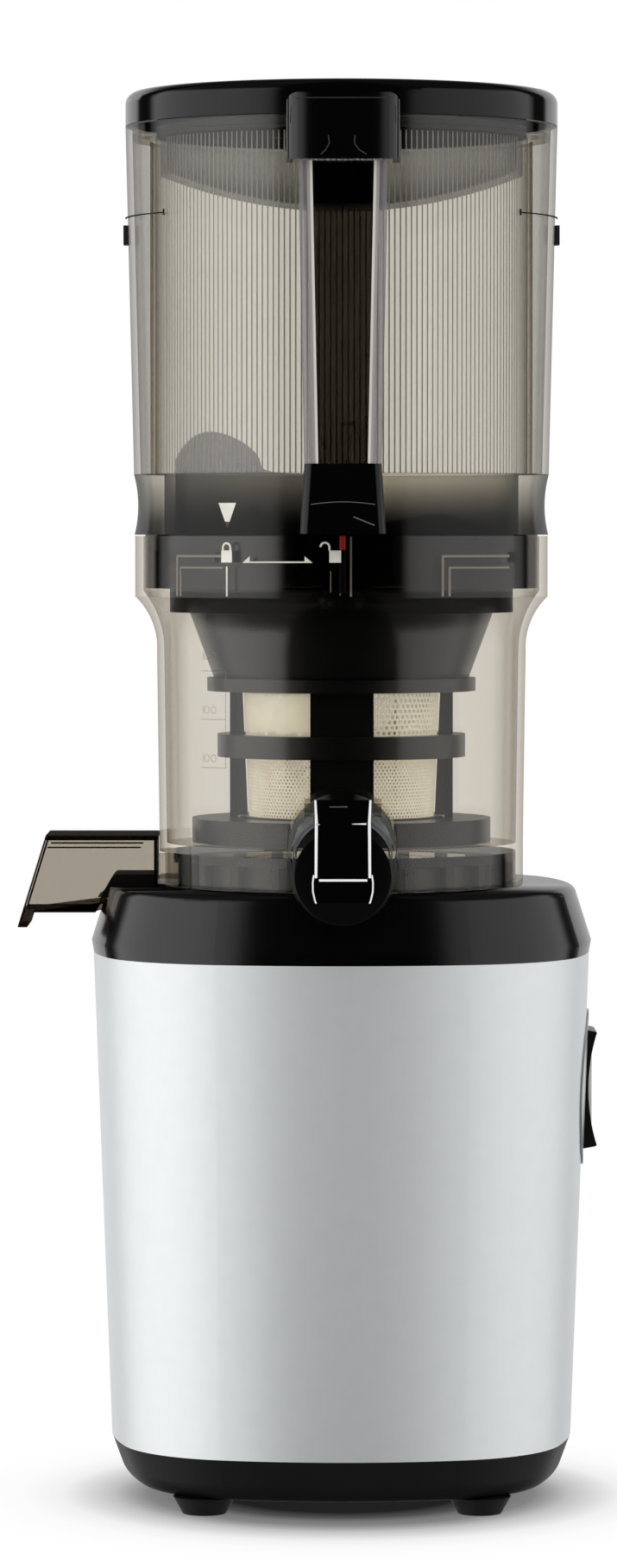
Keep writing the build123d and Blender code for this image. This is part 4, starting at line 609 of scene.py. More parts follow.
liner = loops_to_mesh(
    [
        rib_loop(LINER_RADIUS, RIB_DEPTH, liner_low.z),
        rib_loop(LINER_RADIUS, RIB_DEPTH, RIB_TOP - RIB_RUNOUT),
        rib_loop(LINER_RADIUS, 0, RIB_TOP),
        rib_loop(LINER_RADIUS, 0, liner_high.z - FLANGE),
        rib_loop(liner_high.x, 0, liner_high.z - FLANGE),
        rib_loop(liner_high.x, 0, liner_high.z),
        rib_loop(LINER_RADIUS - LINER_WALL, 0, liner_high.z),
        rib_loop(LINER_RADIUS - LINER_WALL, 0, liner_low.z),
    ],
    closed_stack=True,
)
piece(
    "liner_ribbed",
    liner,
    "liner_ribs",
    "hopper",
    ["hopper_liner"],
    sharp=LINER_SMOOTH,
)

# painted shade: thin opaque strips, one in each groove between the ribs, on the front
GROOVE_PROUD = 0.1 * MM
GROOVE_RADIUS = LINER_RADIUS - RIB_DEPTH + GROOVE_PROUD
GROOVE_HALF = 0.26 * MM
GROOVE_THICKNESS = 0.05 * MM
GROOVE_REACH = math.radians(66)
rib_turn = 2 * math.pi / RIB_COUNT
groove_count = int(GROOVE_REACH / rib_turn)
[groove] = bar(-GROOVE_HALF, GROOVE_HALF, liner_low.z, RIB_TOP)
grooves = bmesh.new()
for k in range(-groove_count, groove_count + 1):
    prism(
        grooves,
        groove,
        lambda u, z, depth: polar(GROOVE_RADIUS + depth, k * rib_turn + u / GROOVE_RADIUS, z),
        0.0,
        GROOVE_THICKNESS,
    )
piece("liner_groove_shade_strips", grooves, "groove_shade", "hopper")

# ---------------------------------------------------------------- hopper: handle

handle_low, handle_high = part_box("hopper_handle")
HANDLE_DEPTH = 11 * MM
HANDLE_BOTTOM_HALF = 13.25 * MM
RAIL_WIDTH = 4.8 * MM
RAIL_STEPS = 12
CHANNEL_INSET = 1.2 * MM
CHANNEL_WALL = 2.2 * MM
GLINT_INSET = 0.9 * MM
GLINT_WIDTH = 2.0 * MM
GLINT_THICKNESS = 0.35 * MM
ARM_WIDTH = 20 * MM
ARM_HEIGHT = 14 * MM
ARM_BEVEL = 1.2 * MM
handle_front = handle_low.y
handle_back = handle_front + HANDLE_DEPTH
handle_ends = (handle_low.z, handle_high.z)


def handle_half(z):
    """Half the handle's width, which grows upwards."""
    share = (z - handle_low.z) / (handle_high.z - handle_low.z)
    return HANDLE_BOTTOM_HALF + share * (handle_high.x - HANDLE_BOTTOM_HALF)


def rail_loop(side, z):
    """Round-fronted rail section: a half disc in front of a flat cheek."""
    half = handle_half(z)
    nose = RAIL_WIDTH / 2
    middle = half - nose
    loop = []
    for i in range(RAIL_STEPS + 1):
        angle = math.pi * i / RAIL_STEPS
        y = handle_front + nose - nose * math.sin(angle)
        loop.append((middle + nose * math.cos(angle), y))
    loop += [(half - RAIL_WIDTH, handle_back), (half, handle_back)]
    return [Vector((side * x, y, z)) for x, y in loop]


def channel_loop(z):
    half = handle_half(z) - RAIL_WIDTH
    front = handle_front + CHANNEL_INSET
    back = front + CHANNEL_WALL
    section = ((-half, front), (half, front), (half, back), (-half, back))
    return [Vector((x, y, z)) for x, y in section]


rails = bmesh.new()
for side in (-1, 1):
    loops_to_mesh([rail_loop(side, z) for z in handle_ends], caps=True, mesh=rails)
piece("handle_rails", rails, "rail_smoke", "hopper", ["hopper_handle"])

# painted highlights: a bright strip down the front of each rail
low_half, high_half = (handle_half(z) - RAIL_WIDTH for z in handle_ends)
glint = [(low_half, handle_low.z), (low_half + GLINT_WIDTH, handle_low.z)]
glint += [(high_half + GLINT_WIDTH, handle_high.z), (high_half, handle_high.z)]
marks(
    "handle_glints",
    both_sides([(x / MM, z / MM) for x, z in glint]),
    on_plane(handle_front + GLINT_INSET),
    "rail_highlight_paint",
    "hopper",
    height=GLINT_THICKNESS,
)

channel = loops_to_mesh([channel_loop(z) for z in handle_ends], caps=True)
piece("handle_channel", channel, "channel_dark", "hopper")

arm_length = handle_high.y - handle_back
for name, z, finish in (
    ("handle_arm_low", handle_low.z + ARM_HEIGHT / 2, "ribbed_plastic"),
    ("handle_arm_high", handle_high.z - ARM_HEIGHT / 2, "channel_dark"),
):
    arm = bmesh.new()
    block(arm, (0, handle_back + arm_length / 2, z), (ARM_WIDTH, arm_length, ARM_HEIGHT))
    piece(name, arm, finish, "hopper", bevel=ARM_BEVEL)

# ---------------------------------------------------------------- bowl: perforated screen

screen_low, screen_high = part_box("strainer_screen")
SCREEN_THICKNESS = 0.3 * MM
SCREEN_LOW_RADIUS = 33.0 * MM
SCREEN_HIGH_RADIUS = screen_high.x - SCREEN_THICKNESS
FINE_TOP = 264.6 * MM
FINE_COLUMNS = 140
FINE_ROWS = 18
FINE_HOLE = 0.42 * MM
COARSE_BOTTOM = 272.7 * MM
COARSE_COLUMNS = 98
COARSE_ROWS = 8
COARSE_HOLE = 0.74 * MM
WELD = 0.02 * MM
CELL_CORNERS = ((1, 0), (1, 1), (0, 1), (-1, 1), (-1, 0), (-1, -1), (0, -1), (1, -1))


def on_screen(angle, z):
    share = (z - screen_low.z) / (screen_high.z - screen_low.z)
    return polar(SCREEN_LOW_RADIUS + share * (SCREEN_HIGH_RADIUS - SCREEN_LOW_RADIUS), angle, z)


def perforated(mesh, low, high, columns, rows, hole=0.0, reach=2 * math.pi):
    """A band of the cone in staggered cells, with eight-sided holes from the front to an angle."""
    width = 2 * math.pi / columns
    height = (high - low) / rows
    for row in range(rows):
        for column in range(columns):
            angle = (column + 0.5 * (row % 2)) * width
            z = low + (row + 0.5) * height
            rim = [
                mesh.verts.new(on_screen(angle + u * width / 2, z + v * height / 2))
                for u, v in CELL_CORNERS
            ]
            if not hole or angle % (2 * math.pi) >= reach:
                mesh.faces.new(rim)
                continue
            edge = []
            for k in range(8):
                turn = k * math.pi / 4
                across = hole * math.cos(turn) / SCREEN_LOW_RADIUS
                edge.append(mesh.verts.new(on_screen(angle + across, z + hole * math.sin(turn))))
            for k in range(8):
                following = (k + 1) % 8
                mesh.faces.new((edge[k], rim[k], rim[following], edge[following]))


screen = bmesh.new()
perforated(screen, screen_low.z, FINE_TOP, FINE_COLUMNS, FINE_ROWS, FINE_HOLE)
perforated(screen, FINE_TOP, COARSE_BOTTOM, FINE_COLUMNS, 1)
perforated(screen, COARSE_BOTTOM, screen_high.z, COARSE_COLUMNS, COARSE_ROWS, COARSE_HOLE, math.pi)
bmesh.ops.remove_doubles(screen, verts=screen.verts, dist=WELD)
screen_piece = piece(
    "screen_perforated", screen, "screen_steel", "base", ["strainer_screen"]
)
thickness = screen_piece.modifiers.new("thickness", "SOLIDIFY")
thickness.thickness = SCREEN_THICKNESS
thickness.offset = 0

# ---------------------------------------------------------------- bowl: juice cap lever

lever_low, lever_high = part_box("juice_cap")
TONGUE_HALF = 10.6 * MM
TONGUE_LEAN = 2.4 * MM
TONGUE_STEPS = 9
TONGUE_STEP_TURN = math.radians(11)
LEVER_BARREL = 2.8 * MM
LEVER_THICKNESS = 4 * MM
LEVER_PIN_HEIGHT = 250.2 * MM
LEVER_BEVEL = 0.3 * MM
CREASE_HEIGHT = 225.2 * MM
CREASE_STEP = 1.2 * MM
lever_half = lever_high.x
lever_front = lever_low.y
lever_back = lever_front + LEVER_THICKNESS


def lever_outline():
    """Heights and half widths down the lever: straight, then a round end."""
    rows = [
        (LEVER_PIN_HEIGHT + LEVER_BARREL, lever_half),
        (CREASE_HEIGHT + CREASE_STEP, lever_half),
        (CREASE_HEIGHT, TONGUE_HALF),
    ]
    centre = lever_low.z + TONGUE_HALF
    for i in range(TONGUE_STEPS):
        angle = TONGUE_STEP_TURN * i
        rows.append((centre - TONGUE_HALF * math.sin(angle), TONGUE_HALF * math.cos(angle)))
    return rows


def lever_depth(z):
    """The front face leans back below the crease."""
    return lever_front + max(0.0, (CREASE_HEIGHT - z) / (CREASE_HEIGHT - lever_low.z)) * TONGUE_LEAN


def on_lever(x, z, depth):
    return Vector((x * MM, lever_depth(z * MM) - depth, z * MM))


lever_loops = []
for z, half in lever_outline():
    front = lever_depth(z)
    section = ((-half, front), (half, front), (half, lever_back), (-half, lever_back))
    lever_loops.append([Vector((x, y, z)) for x, y in section])
lever = loops_to_mesh(lever_loops, caps=True)
round_bar(
    lever,
    (0, lever_high.y - LEVER_BARREL, LEVER_PIN_HEIGHT),
    LEVER_BARREL,
    2 * lever_half,
    math.pi / 2,
    "Y",
    steps=32,
)
piece(
    "cap_lever", lever, "black_gloss", "juice_cap", ["juice_cap"], bevel=LEVER_BEVEL
)

# painted highlights: bright lines along the lever's edges and its crease, and two short ones on its
# face
TOP_EDGE = ((9.8, 253.0), (9.1, 253.0), (8.6, 245.3), (9.6, 245.3))
SIDE_EDGE = ((9.6, 245.3), (8.6, 245.3), (8.8, 226.2), (9.7, 226.2))
TONGUE_EDGE = ((10.0, 227.2), (10.35, 224.6), (10.3, 221.5), (9.6, 218.4), (8.8, 216.3))
TONGUE_EDGE_WIDTH = 0.55
CREASE_LINE = ((-8.2, 225.0), (8.4, 225.0), (8.4, 225.8), (-8.2, 225.8))
FACE_LINE = ((3.2, 244.7), (8.0, 244.5), (8.0, 245.1), (3.2, 244.9))
FACE_SPOT = ((-8.9, 244.3), (-7.8, 244.6), (-8.9, 244.9))
lever_highlights = both_sides(TOP_EDGE, SIDE_EDGE, *ribbon(TONGUE_EDGE, TONGUE_EDGE_WIDTH))
lever_highlights += [CREASE_LINE, FACE_LINE, FACE_SPOT]
marks("lever_edge_highlights", lever_highlights, on_lever, "bright_highlight_paint", "juice_cap")

# painted highlights: faint lines, one near the lever's top and one on the arc of its round end
HEAD_LINE = ((-4.6, 250.5), (1.6, 250.5), (1.6, 250.9), (-4.6, 250.8))
ARC_RADII = (7.0, 7.1)
ARC_CENTRE = 218.0
ARC_WIDTH = 0.3
end_arc = []
for degrees in range(-60, 61, 12):
    turn = math.radians(degrees)
    end_arc.append((ARC_RADII[0] * math.sin(turn), ARC_CENTRE - ARC_RADII[1] * math.cos(turn)))
lever_faint_highlights = [HEAD_LINE] + ribbon(end_arc, ARC_WIDTH)
marks("lever_glints", lever_faint_highlights, on_lever, "dim_highlight_paint", "juice_cap")

# ---------------------------------------------------------------- bowl: nozzle with its stopper

NOZZLE_TILT = math.radians(14)
STOPPER_RADIUS = 16.9 * MM
STOPPER_THICKNESS = 2.0 * MM
STOPPER_HEIGHT = 226.2 * MM
STOPPER_INSET = 0.6 * MM
STOPPER_BEVEL = 0.4 * MM
seal_low, seal_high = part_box("cap_seal")
stopper = bmesh.new()
round_bar(
    stopper,
    (0, (seal_low.y + seal_high.y) / 2 - STOPPER_INSET, STOPPER_HEIGHT),
    STOPPER_RADIUS,
    STOPPER_THICKNESS,
    math.pi / 2 - NOZZLE_TILT,
    "X",
    steps=72,
)
piece(
    "cap_stopper", stopper, "seal_black", "juice_cap", ["cap_seal"], bevel=STOPPER_BEVEL
)

# the clear tube, from the nozzle's mouth back to the bowl
NOZZLE_MOUTH = Vector((0, -94.0, 229.5)) * MM
NOZZLE_OUTER = 18.95 * MM
NOZZLE_INNER = 17.3 * MM
NOZZLE_START = 0.6 * MM
NOZZLE_LENGTH = 27.0 * MM
NOZZLE_STEPS = 72
nozzle_back = Vector((0, math.cos(NOZZLE_TILT), math.sin(NOZZLE_TILT)))
nozzle_up = Vector((0, -math.sin(NOZZLE_TILT), math.cos(NOZZLE_TILT)))


def nozzle_loop(radius, along):
    centre = NOZZLE_MOUTH + nozzle_back * along
    loop = []
    for i in range(NOZZLE_STEPS):
        turn = 2 * math.pi * i / NOZZLE_STEPS
        aside = Vector((radius * math.cos(turn), 0, 0))
        loop.append(centre + aside + nozzle_up * radius * math.sin(turn))
    return loop


tube = loops_to_mesh(
    [
        nozzle_loop(NOZZLE_OUTER, NOZZLE_START),
        nozzle_loop(NOZZLE_OUTER, NOZZLE_LENGTH),
        nozzle_loop(NOZZLE_INNER, NOZZLE_LENGTH),
        nozzle_loop(NOZZLE_INNER, NOZZLE_START),
    ],
    closed_stack=True,
)
piece("nozzle_tube", tube, "tube_painted_sheen", "base")

# ---------------------------------------------------------------- bowl: chute

chute_low, chute_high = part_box("pulp_chute")
CHUTE_HALF = 17 * MM
CHUTE_WALL = 2 * MM
CHUTE_BOTTOM = 212.3 * MM
CHUTE_ROOT = 65.7 * MM
CHUTE_STEP = (86.2 * MM, 87.8 * MM)  # outside the cover the floor runs lower
CHUTE_FLOOR = (209.2 * MM, 210.2 * MM)
CHUTE_TOP_REACH = 105.6 * MM
CHUTE_LIP = 3.6 * MM
CHUTE_BEVEL = 0.4 * MM
ROOT_FRAME = 1.0 * MM
ROOT_OFFSET = 0.8 * MM
chute_slant = (-chute_low.x - CHUTE_TOP_REACH) / (chute_high.z - chute_low.z)
inner_floor = CHUTE_BOTTOM + CHUTE_WALL
ceiling = chute_high.z - CHUTE_WALL


def mouth(z, inset=0.0):
    """A point of the mouth's slanted plane, as (x, z); inset moves it towards the bowl."""
    return (-(CHUTE_TOP_REACH + chute_slant * (chute_high.z - z)) + inset, z)


def along_y(x, z, y):
    return Vector((x, y, z))


sides = bmesh.new()
side_outline = [
    (-CHUTE_ROOT, inner_floor),
    (-CHUTE_STEP[0], inner_floor),
    (-CHUTE_STEP[1], CHUTE_FLOOR[1]),
    mouth(CHUTE_FLOOR[1]),
    mouth(ceiling),
    (-CHUTE_ROOT, ceiling),
]
for side in (-1, 1):
    prism(sides, side_outline, along_y, side * (CHUTE_HALF - CHUTE_WALL), side * CHUTE_HALF)
piece("chute_sides", sides, "smoke_plastic", "base", ["pulp_chute"])

plates = bmesh.new()
top_plate = [
    (-CHUTE_ROOT, ceiling),
    mouth(ceiling),
    mouth(chute_high.z),
    (-CHUTE_ROOT, chute_high.z),
]
bottom_plate = [
    (-CHUTE_ROOT, CHUTE_BOTTOM),
    (-CHUTE_STEP[0], CHUTE_BOTTOM),
    (-CHUTE_STEP[1], CHUTE_FLOOR[0]),
    mouth(CHUTE_FLOOR[0], CHUTE_LIP),
    mouth(chute_low.z, CHUTE_LIP),
    mouth(chute_low.z),
    mouth(CHUTE_FLOOR[1]),
    (-CHUTE_STEP[1], CHUTE_FLOOR[1]),
    (-CHUTE_STEP[0], inner_floor),
    (-CHUTE_ROOT, inner_floor),
]
for outline in (top_plate, bottom_plate):
    prism(plates, outline, along_y, -CHUTE_HALF, CHUTE_HALF)
block(
    plates,
    (-CHUTE_ROOT - ROOT_OFFSET, 0, (CHUTE_BOTTOM + chute_high.z) / 2),
    (ROOT_FRAME, 2 * CHUTE_HALF, ceiling - inner_floor),
)
piece("chute_plates", plates, "chute_dark", "base", bevel=CHUTE_BEVEL)

# the channel that carries the pulp under the strainer to the chute: a floor and two low walls
CHANNEL_LOW = 219.4 * MM
CHANNEL_HIGH = 230.4 * MM
CHANNEL_INNER = 17.8 * MM
channel_middle = -(CHANNEL_INNER + CHUTE_ROOT) / 2
channel_length = CHUTE_ROOT - CHANNEL_INNER
channel_floor = CHANNEL_LOW + CHUTE_WALL
channel_walls = bmesh.new()
block(
    channel_walls,
    (channel_middle, 0, CHANNEL_LOW + CHUTE_WALL / 2),
    (channel_length, 2 * CHUTE_HALF, CHUTE_WALL),
)
for side in (-1, 1):
    block(
        channel_walls,
        (channel_middle, side * (CHUTE_HALF - CHUTE_WALL / 2), (channel_floor + CHANNEL_HIGH) / 2),
        (channel_length, CHUTE_WALL, CHANNEL_HIGH - channel_floor),
    )
piece("chute_channel", channel_walls, "smoke_plastic", "base", bevel=CHUTE_BEVEL)

# the clear sides' dark mouth edge down the slant, and a fine rib under the top plate
MOUTH_EDGE = 0.7 * MM
CHUTE_RIB = (232.2 * MM, 232.7 * MM)
RIB_INSETS = (2.0 * MM, 6 * MM)
EDGE_PROUD = 0.1 * MM
mouth_line = [
    mouth(CHUTE_FLOOR[1]),
    mouth(CHUTE_FLOOR[1], MOUTH_EDGE),
    mouth(ceiling, MOUTH_EDGE),
    mouth(ceiling),
]
rib_start = mouth(CHUTE_RIB[0], RIB_INSETS[0])[0]
[rib_line] = bar(rib_start, -CHUTE_ROOT - RIB_INSETS[1], *CHUTE_RIB)
mouth_edge = bmesh.new()
for side in (-1, 1):
    inside, outside = side * (CHUTE_HALF - CHUTE_WALL), side * (CHUTE_HALF + EDGE_PROUD)
    for outline in (mouth_line, rib_line):
        prism(mouth_edge, outline, along_y, inside, outside)
piece("chute_mouth_edge", mouth_edge, "chute_dark", "base")

# pulp plug: its outer end swells up in a smooth step
plug_low, plug_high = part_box("pulp_plug")
PLUG_ROOT = CHUTE_ROOT + 0.4 * MM
PLUG_FOOT = 87.2 * MM
PLUG_CREST = 80.6 * MM
PLUG_TOP = plug_high.z - 2.3 * MM
PLUG_STEPS = 12
plug_outline = [(-PLUG_ROOT, plug_low.z)]
for i in range(PLUG_STEPS + 1):
    share = i / PLUG_STEPS
    rise = share * share * (3 - 2 * share)
    height = plug_low.z + rise * (PLUG_TOP - plug_low.z)
    plug_outline.append((-PLUG_FOOT + share * (PLUG_FOOT - PLUG_CREST), height))
plug_outline.append((-PLUG_ROOT, PLUG_TOP))
plug = bmesh.new()
prism(plug, plug_outline, along_y, plug_low.y, plug_high.y)
piece("plug_body", plug, "black_rubber", "base", ["pulp_plug"])

# ---------------------------------------------------------------- bowl: brim, panes, indicator

ROUND_STEPS = 96
BRIM_PROFILE = (
    (52.0, 316.4),
    (61.6, 316.4),
    (61.6, 324.7),
    (60.4, 324.7),
    (60.4, 317.4),
    (52.0, 317.4),
)
PANE_PROFILE = ((57.2, 219.3), (57.9, 219.3), (57.9, 230.2), (57.2, 230.2))
PANE_REACH = (-70, 105)
INDICATOR_SPLIT = 338.9 * MM
INDICATOR_BEVEL = 0.2 * MM


def turned(profile, start=0, stop=360):
    """Turns a closed (radius, z) outline in mm about the drive axis; angles in degrees."""
    whole = stop - start == 360
    loops = []
    for i in range(ROUND_STEPS if whole else ROUND_STEPS + 1):
        angle = math.radians(start + (stop - start) * i / ROUND_STEPS)
        loops.append([polar(radius * MM, angle, z * MM) for radius, z in profile])
    return loops_to_mesh(loops, closed_stack=whole, caps=not whole)


piece("funnel_brim", turned(BRIM_PROFILE), "seal_black", "base")
piece("foot_ring_panes", turned(PANE_PROFILE, *PANE_REACH), "pane_olive", "base")

indicator_low, indicator_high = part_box("lock_indicator")
indicator_middle = (indicator_low + indicator_high) / 2
indicator_size = indicator_high - indicator_low
for name, low, high, finish, replaced in (
    ("indicator_red", INDICATOR_SPLIT, indicator_high.z, "red_plastic", ["lock_indicator"]),
    ("indicator_stem", indicator_low.z, INDICATOR_SPLIT, "seal_black", ()),
):
    pin = bmesh.new()
    centre = (0, indicator_middle.y, (low + high) / 2)
    block(pin, centre, (indicator_size.x, indicator_size.y, high - low))
    piece(name, pin, finish, "base", replaced, bevel=INDICATOR_BEVEL)

# ---------------------------------------------------------------- painted highlights on handle foot and latch

SEAM_HALF = 11
SEAM_HEIGHT = 354.4
SEAM_CROWN = 0.9
SEAM_WIDTH = 0.25
FOOT_STREAK = ((3.6, 350.2), (5.6, 349.4), (8.0, 348.4), (10.8, 347.3))
LATCH_CURLS = (
    ((-5.1, 479.9), (-4.7, 477.2), (-6.0, 474.9), (-7.6, 473.4)),
    ((4.0, 479.9), (3.8, 477.2), (5.4, 474.9), (8.0, 473.4)),
)
LATCH_EDGE = ((-18.2, 484), (-18.0, 490), (-15.8, 492.6), (15.8, 492.6), (18.0, 490), (18.2, 484))
LATCH_EDGE_WIDTH = 0.3
LINE_WIDTH = 0.4

bpy.context.view_layer.update()
on_foot = on_node("handle_foot")
# painted highlights on the handle foot: its real seam drawn as a dim lit line, and a highlight
# streak below it
seam_arc = [
    (x, SEAM_HEIGHT + SEAM_CROWN * (1 - (x / SEAM_HALF) ** 2))
    for x in range(-SEAM_HALF, SEAM_HALF + 1)
]
foot_highlights = (
    ("foot_seam", ribbon(seam_arc, SEAM_WIDTH)),
    ("foot_highlight_streak", ribbon(FOOT_STREAK, LINE_WIDTH)),
)
for name, shapes in foot_highlights:
    marks(name, shapes, on_foot, "dim_highlight_paint", "hopper")

# painted highlights on the latch: a faint line round its top edge and two small curls on its face
latch_highlights = ribbon(LATCH_EDGE, LATCH_EDGE_WIDTH)
for curl in LATCH_CURLS:
    latch_highlights += ribbon(curl, LINE_WIDTH)
marks("latch_glints", latch_highlights, on_node("lid_latch"), "faint_highlight_paint", "latch")

# ---------------------------------------------------------------- printed marks

RING_RADIUS = 73.2 * MM
collar_radius = outer("juice_bowl")
on_ring = on_cylinder(RING_RADIUS)
on_collar = on_cylinder(collar_radius)

LOCK_HEIGHTS = (334.4, 338.6)
SHACKLE = {"radius": 1.9, "thickness": 0.7, "start": 0, "stop": 180}
LEG_WIDTH = 0.7
TRIANGLE = ((-46.2, 355.2), (-42.4, 346.4), (-38.8, 355.2))
ARROW_HEIGHTS = (334.3, 334.8)
ARROW_STEPS = 8
ARROW_HEADS = (
    ((-36.2, 334.3), (-33.4, 334.3), (-33.4, 336.6)),
    ((-10.4, 334.3), (-13.2, 336.6), (-13.2, 334.3)),
)


def padlock(low, high, shackle, shackle_height, legs):
    """A padlock's body between two arcs, its bent shackle and the shackle's legs."""
    shapes = bar(low, high, *LOCK_HEIGHTS) + arch(shackle, shackle_height, **SHACKLE)
    for leg in legs:
        shapes += bar(leg, leg + LEG_WIDTH, LOCK_HEIGHTS[1], shackle_height)
    return shapes


closed_lock = padlock(-44.9, -40.5, -42.7, 339.6, (-44.6, -41.5))
open_lock = padlock(-4.6, -0.5, -6.1, 339.8, (-4.9,))
arrow = bar(-34.2, -12.4, *ARROW_HEIGHTS, steps=ARROW_STEPS) + list(ARROW_HEADS)
tick = bar(-42.9, -42.3, 322.6, 333.0)
for name, shapes, place, body in (
    ("mark_triangle", [TRIANGLE], on_ring, "hopper"),
    ("mark_lock_closed", closed_lock, on_collar, "base"),
    ("mark_lock_open", open_lock, on_collar, "base"),
    ("mark_arrow", arrow, on_collar, "base"),
    ("mark_tick", tick, on_collar, "base"),
):
    marks(name, shapes, place, "print_cream", body)

# ---------------------------------------------------------------- fine lines on the bowl and hopper

# bayonet tracks on the collar's inside: bars as (arc from, arc to, z from, z to)
TRACK_STEPS = 8
TRACK_BARS = (
    (-67.5, -44.5, 336.2, 337.0),
    (-65.5, -44.5, 332.2, 332.9),
    (37.0, 69.5, 336.2, 337.0),
    (39.8, 69.5, 332.2, 332.9),
)
TRACK_POSTS = (
    (-68.3, -67.5, 322.6, 337.0),
    (-66.1, -65.5, 322.6, 332.9),
    (36.2, 37.0, 322.6, 337.0),
    (39.0, 39.8, 322.6, 332.9),
    (-4.3, -3.9, 324.0, 331.5),
    (2.6, 3.3, 322.6, 343.4),
    (-1.0, -0.6, 323.0, 336.0),
)
TRACK_DEPTH = 3.4 * MM
TRACK_HEIGHT = 0.35 * MM
tracks = []
for track in TRACK_BARS:
    tracks += bar(*track, steps=TRACK_STEPS)
for post in TRACK_POSTS:
    tracks += bar(*post)
marks(
    "collar_tracks",
    tracks,
    on_cylinder(collar_radius - TRACK_DEPTH),
    "ridge_light",
    "base",
    height=TRACK_HEIGHT,
)

# measuring lines on the bowl's wall, with round marks in place of figures
SCALE_RADIUS = 65.75 * MM
SCALE_HEIGHT = 0.05 * MM
SCALE_REACH = (-56.0, -44.0)
SCALE_LEVELS = (262.0, 279.0, 296.0)
FIGURE_LEVELS = (264.0, 281.0, 300.0)
FIGURE_HEIGHT = 3.0
FIGURE_STROKE = (-55.2, -54.9)
FIGURE_ROUNDS = (-53.2, -49.8)
FIGURE_RADIUS = 1.4
HAIRLINE = 0.3
scale_marks = bar(SCALE_REACH[1] - HAIRLINE, SCALE_REACH[1], SCALE_LEVELS[0], SCALE_LEVELS[-1])
for level in SCALE_LEVELS:
    scale_marks += bar(*SCALE_REACH, level, level + HAIRLINE, steps=4)
for level in FIGURE_LEVELS:
    scale_marks += bar(*FIGURE_STROKE, level, level + FIGURE_HEIGHT)
    for u in FIGURE_ROUNDS:
        scale_marks += arch(u, level + FIGURE_HEIGHT / 2, FIGURE_RADIUS, HAIRLINE, 0, 360, steps=12)
marks(
    "scale_lines",
    scale_marks,
    on_cylinder(SCALE_RADIUS),
    "print_faint",
    "base",
    height=SCALE_HEIGHT,
)

# the hopper wall's seam above its side clips
WALL_SEAM_DEPTH = 0.35 * MM
WALL_SEAM_HEIGHT = 0.5 * MM
seam_line = bar(73.0, 118.0, 457.0, 457.4, steps=8)
seam_end = bar(72.6, 73.1, 456.2, 458.4)
marks(
    "wall_seam",
    both_sides(*seam_line, *seam_end),
    on_cylinder(outer("hopper_wall") - WALL_SEAM_DEPTH),
    "chute_dark",
    "hopper",
    height=WALL_SEAM_HEIGHT,
)

# ---------------------------------------------------------------- switch insert

rocker_low, rocker_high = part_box("switch_rocker")
INSERT_HALF_WIDTH = 11 * MM
INSERT_HALF_HEIGHT = 13.5 * MM
INSERT_SQUARENESS = 0.6  # 1 is an ellipse, 0 a rectangle
INSERT_STEPS = 40
INSERT_DEPTHS = (-0.5 * MM, 0.25 * MM)
ROCKER_HOLLOW = 3.2 * MM
ROCKER_END = 20.5 * MM
switch_height = (rocker_low.z + rocker_high.z) / 2


def squared(value):
    return math.copysign(abs(value) ** INSERT_SQUARENESS, value)


def insert_loop(depth):
    """The insert's rounded outline, laid in the rocker's hollow face."""
    loop = []
    for i in range(INSERT_STEPS):
        angle = 2 * math.pi * i / INSERT_STEPS
        y = INSERT_HALF_WIDTH * squared(math.cos(angle))
        rise = INSERT_HALF_HEIGHT * squared(math.sin(angle))
        hollow = ROCKER_HOLLOW * (1 - (rise / ROCKER_END) ** 2)
        loop.append(Vector((rocker_high.x - hollow + depth, y, switch_height + rise)))
    return loop


insert = loops_to_mesh([insert_loop(depth) for depth in INSERT_DEPTHS], caps=True)
bmesh.ops.triangulate(insert, faces=[face for face in insert.faces if len(face.verts) > 4])
piece("rocker_insert", insert, "silver_plastic", "switch")

# ---------------------------------------------------------------- floor

FLOOR_SIZE = 2.4
FLOOR_CELLS = 8
FLOOR_LEVEL = grey(0.5)
# Painted contact shadow: how bright the floor looks at a distance from the base, in multiples of the
# reach
SHADOW = (
    (0.8, 0.015),
    (1.0, 0.08),
    (1.14, 0.19),
    (1.27, 0.23),
    (1.38, 0.35),
    (1.5, 0.53),
    (1.67, 0.70),
    (1.84, 0.88),
    (2.1, 0.965),
    (2.6, 1.0),
)
SHADOW_REACH = (54.5 * MM, 59 * MM)
SHADOW_FORWARD = 10 * MM
SHADOW_SPAN = 3.0


def floor_material():
    """Pale floor with a painted soft contact shadow, running out into the white surround."""
    shader = Shader(bpy.data.materials.new("floor_white"))
    reach_x, reach_y = SHADOW_REACH
    placed = shader.node("Mapping")
    placed.inputs["Scale"].default_value = (1 / reach_x, 1 / reach_y, 0)
    placed.inputs["Location"].default_value = (0, SHADOW_FORWARD / reach_y, 0)
    shader.link(shader.node("TexCoord").outputs["Object"], placed.inputs["Vector"])
    distance = shader.calculate("LENGTH", placed.outputs["Vector"], kind="VectorMath")
    share = shader.calculate("MULTIPLY", distance, 1 / SHADOW_SPAN)
    fade = shader.ramp(share, *((reach / SHADOW_SPAN, grey(level)) for reach, level in SHADOW))
    seen = shader.coloured("Emission", fade).outputs["Emission"]
    lit = shader.coloured("BsdfDiffuse", FLOOR_LEVEL).outputs["BSDF"]
    unseen = shader.node("BsdfTransparent").outputs["BSDF"]
    path = shader.node("LightPath").outputs
    return shader.end(
        shader.blend(path["Is Camera Ray"], shader.blend(path["Is Glossy Ray"], lit, unseen), seen)
    )


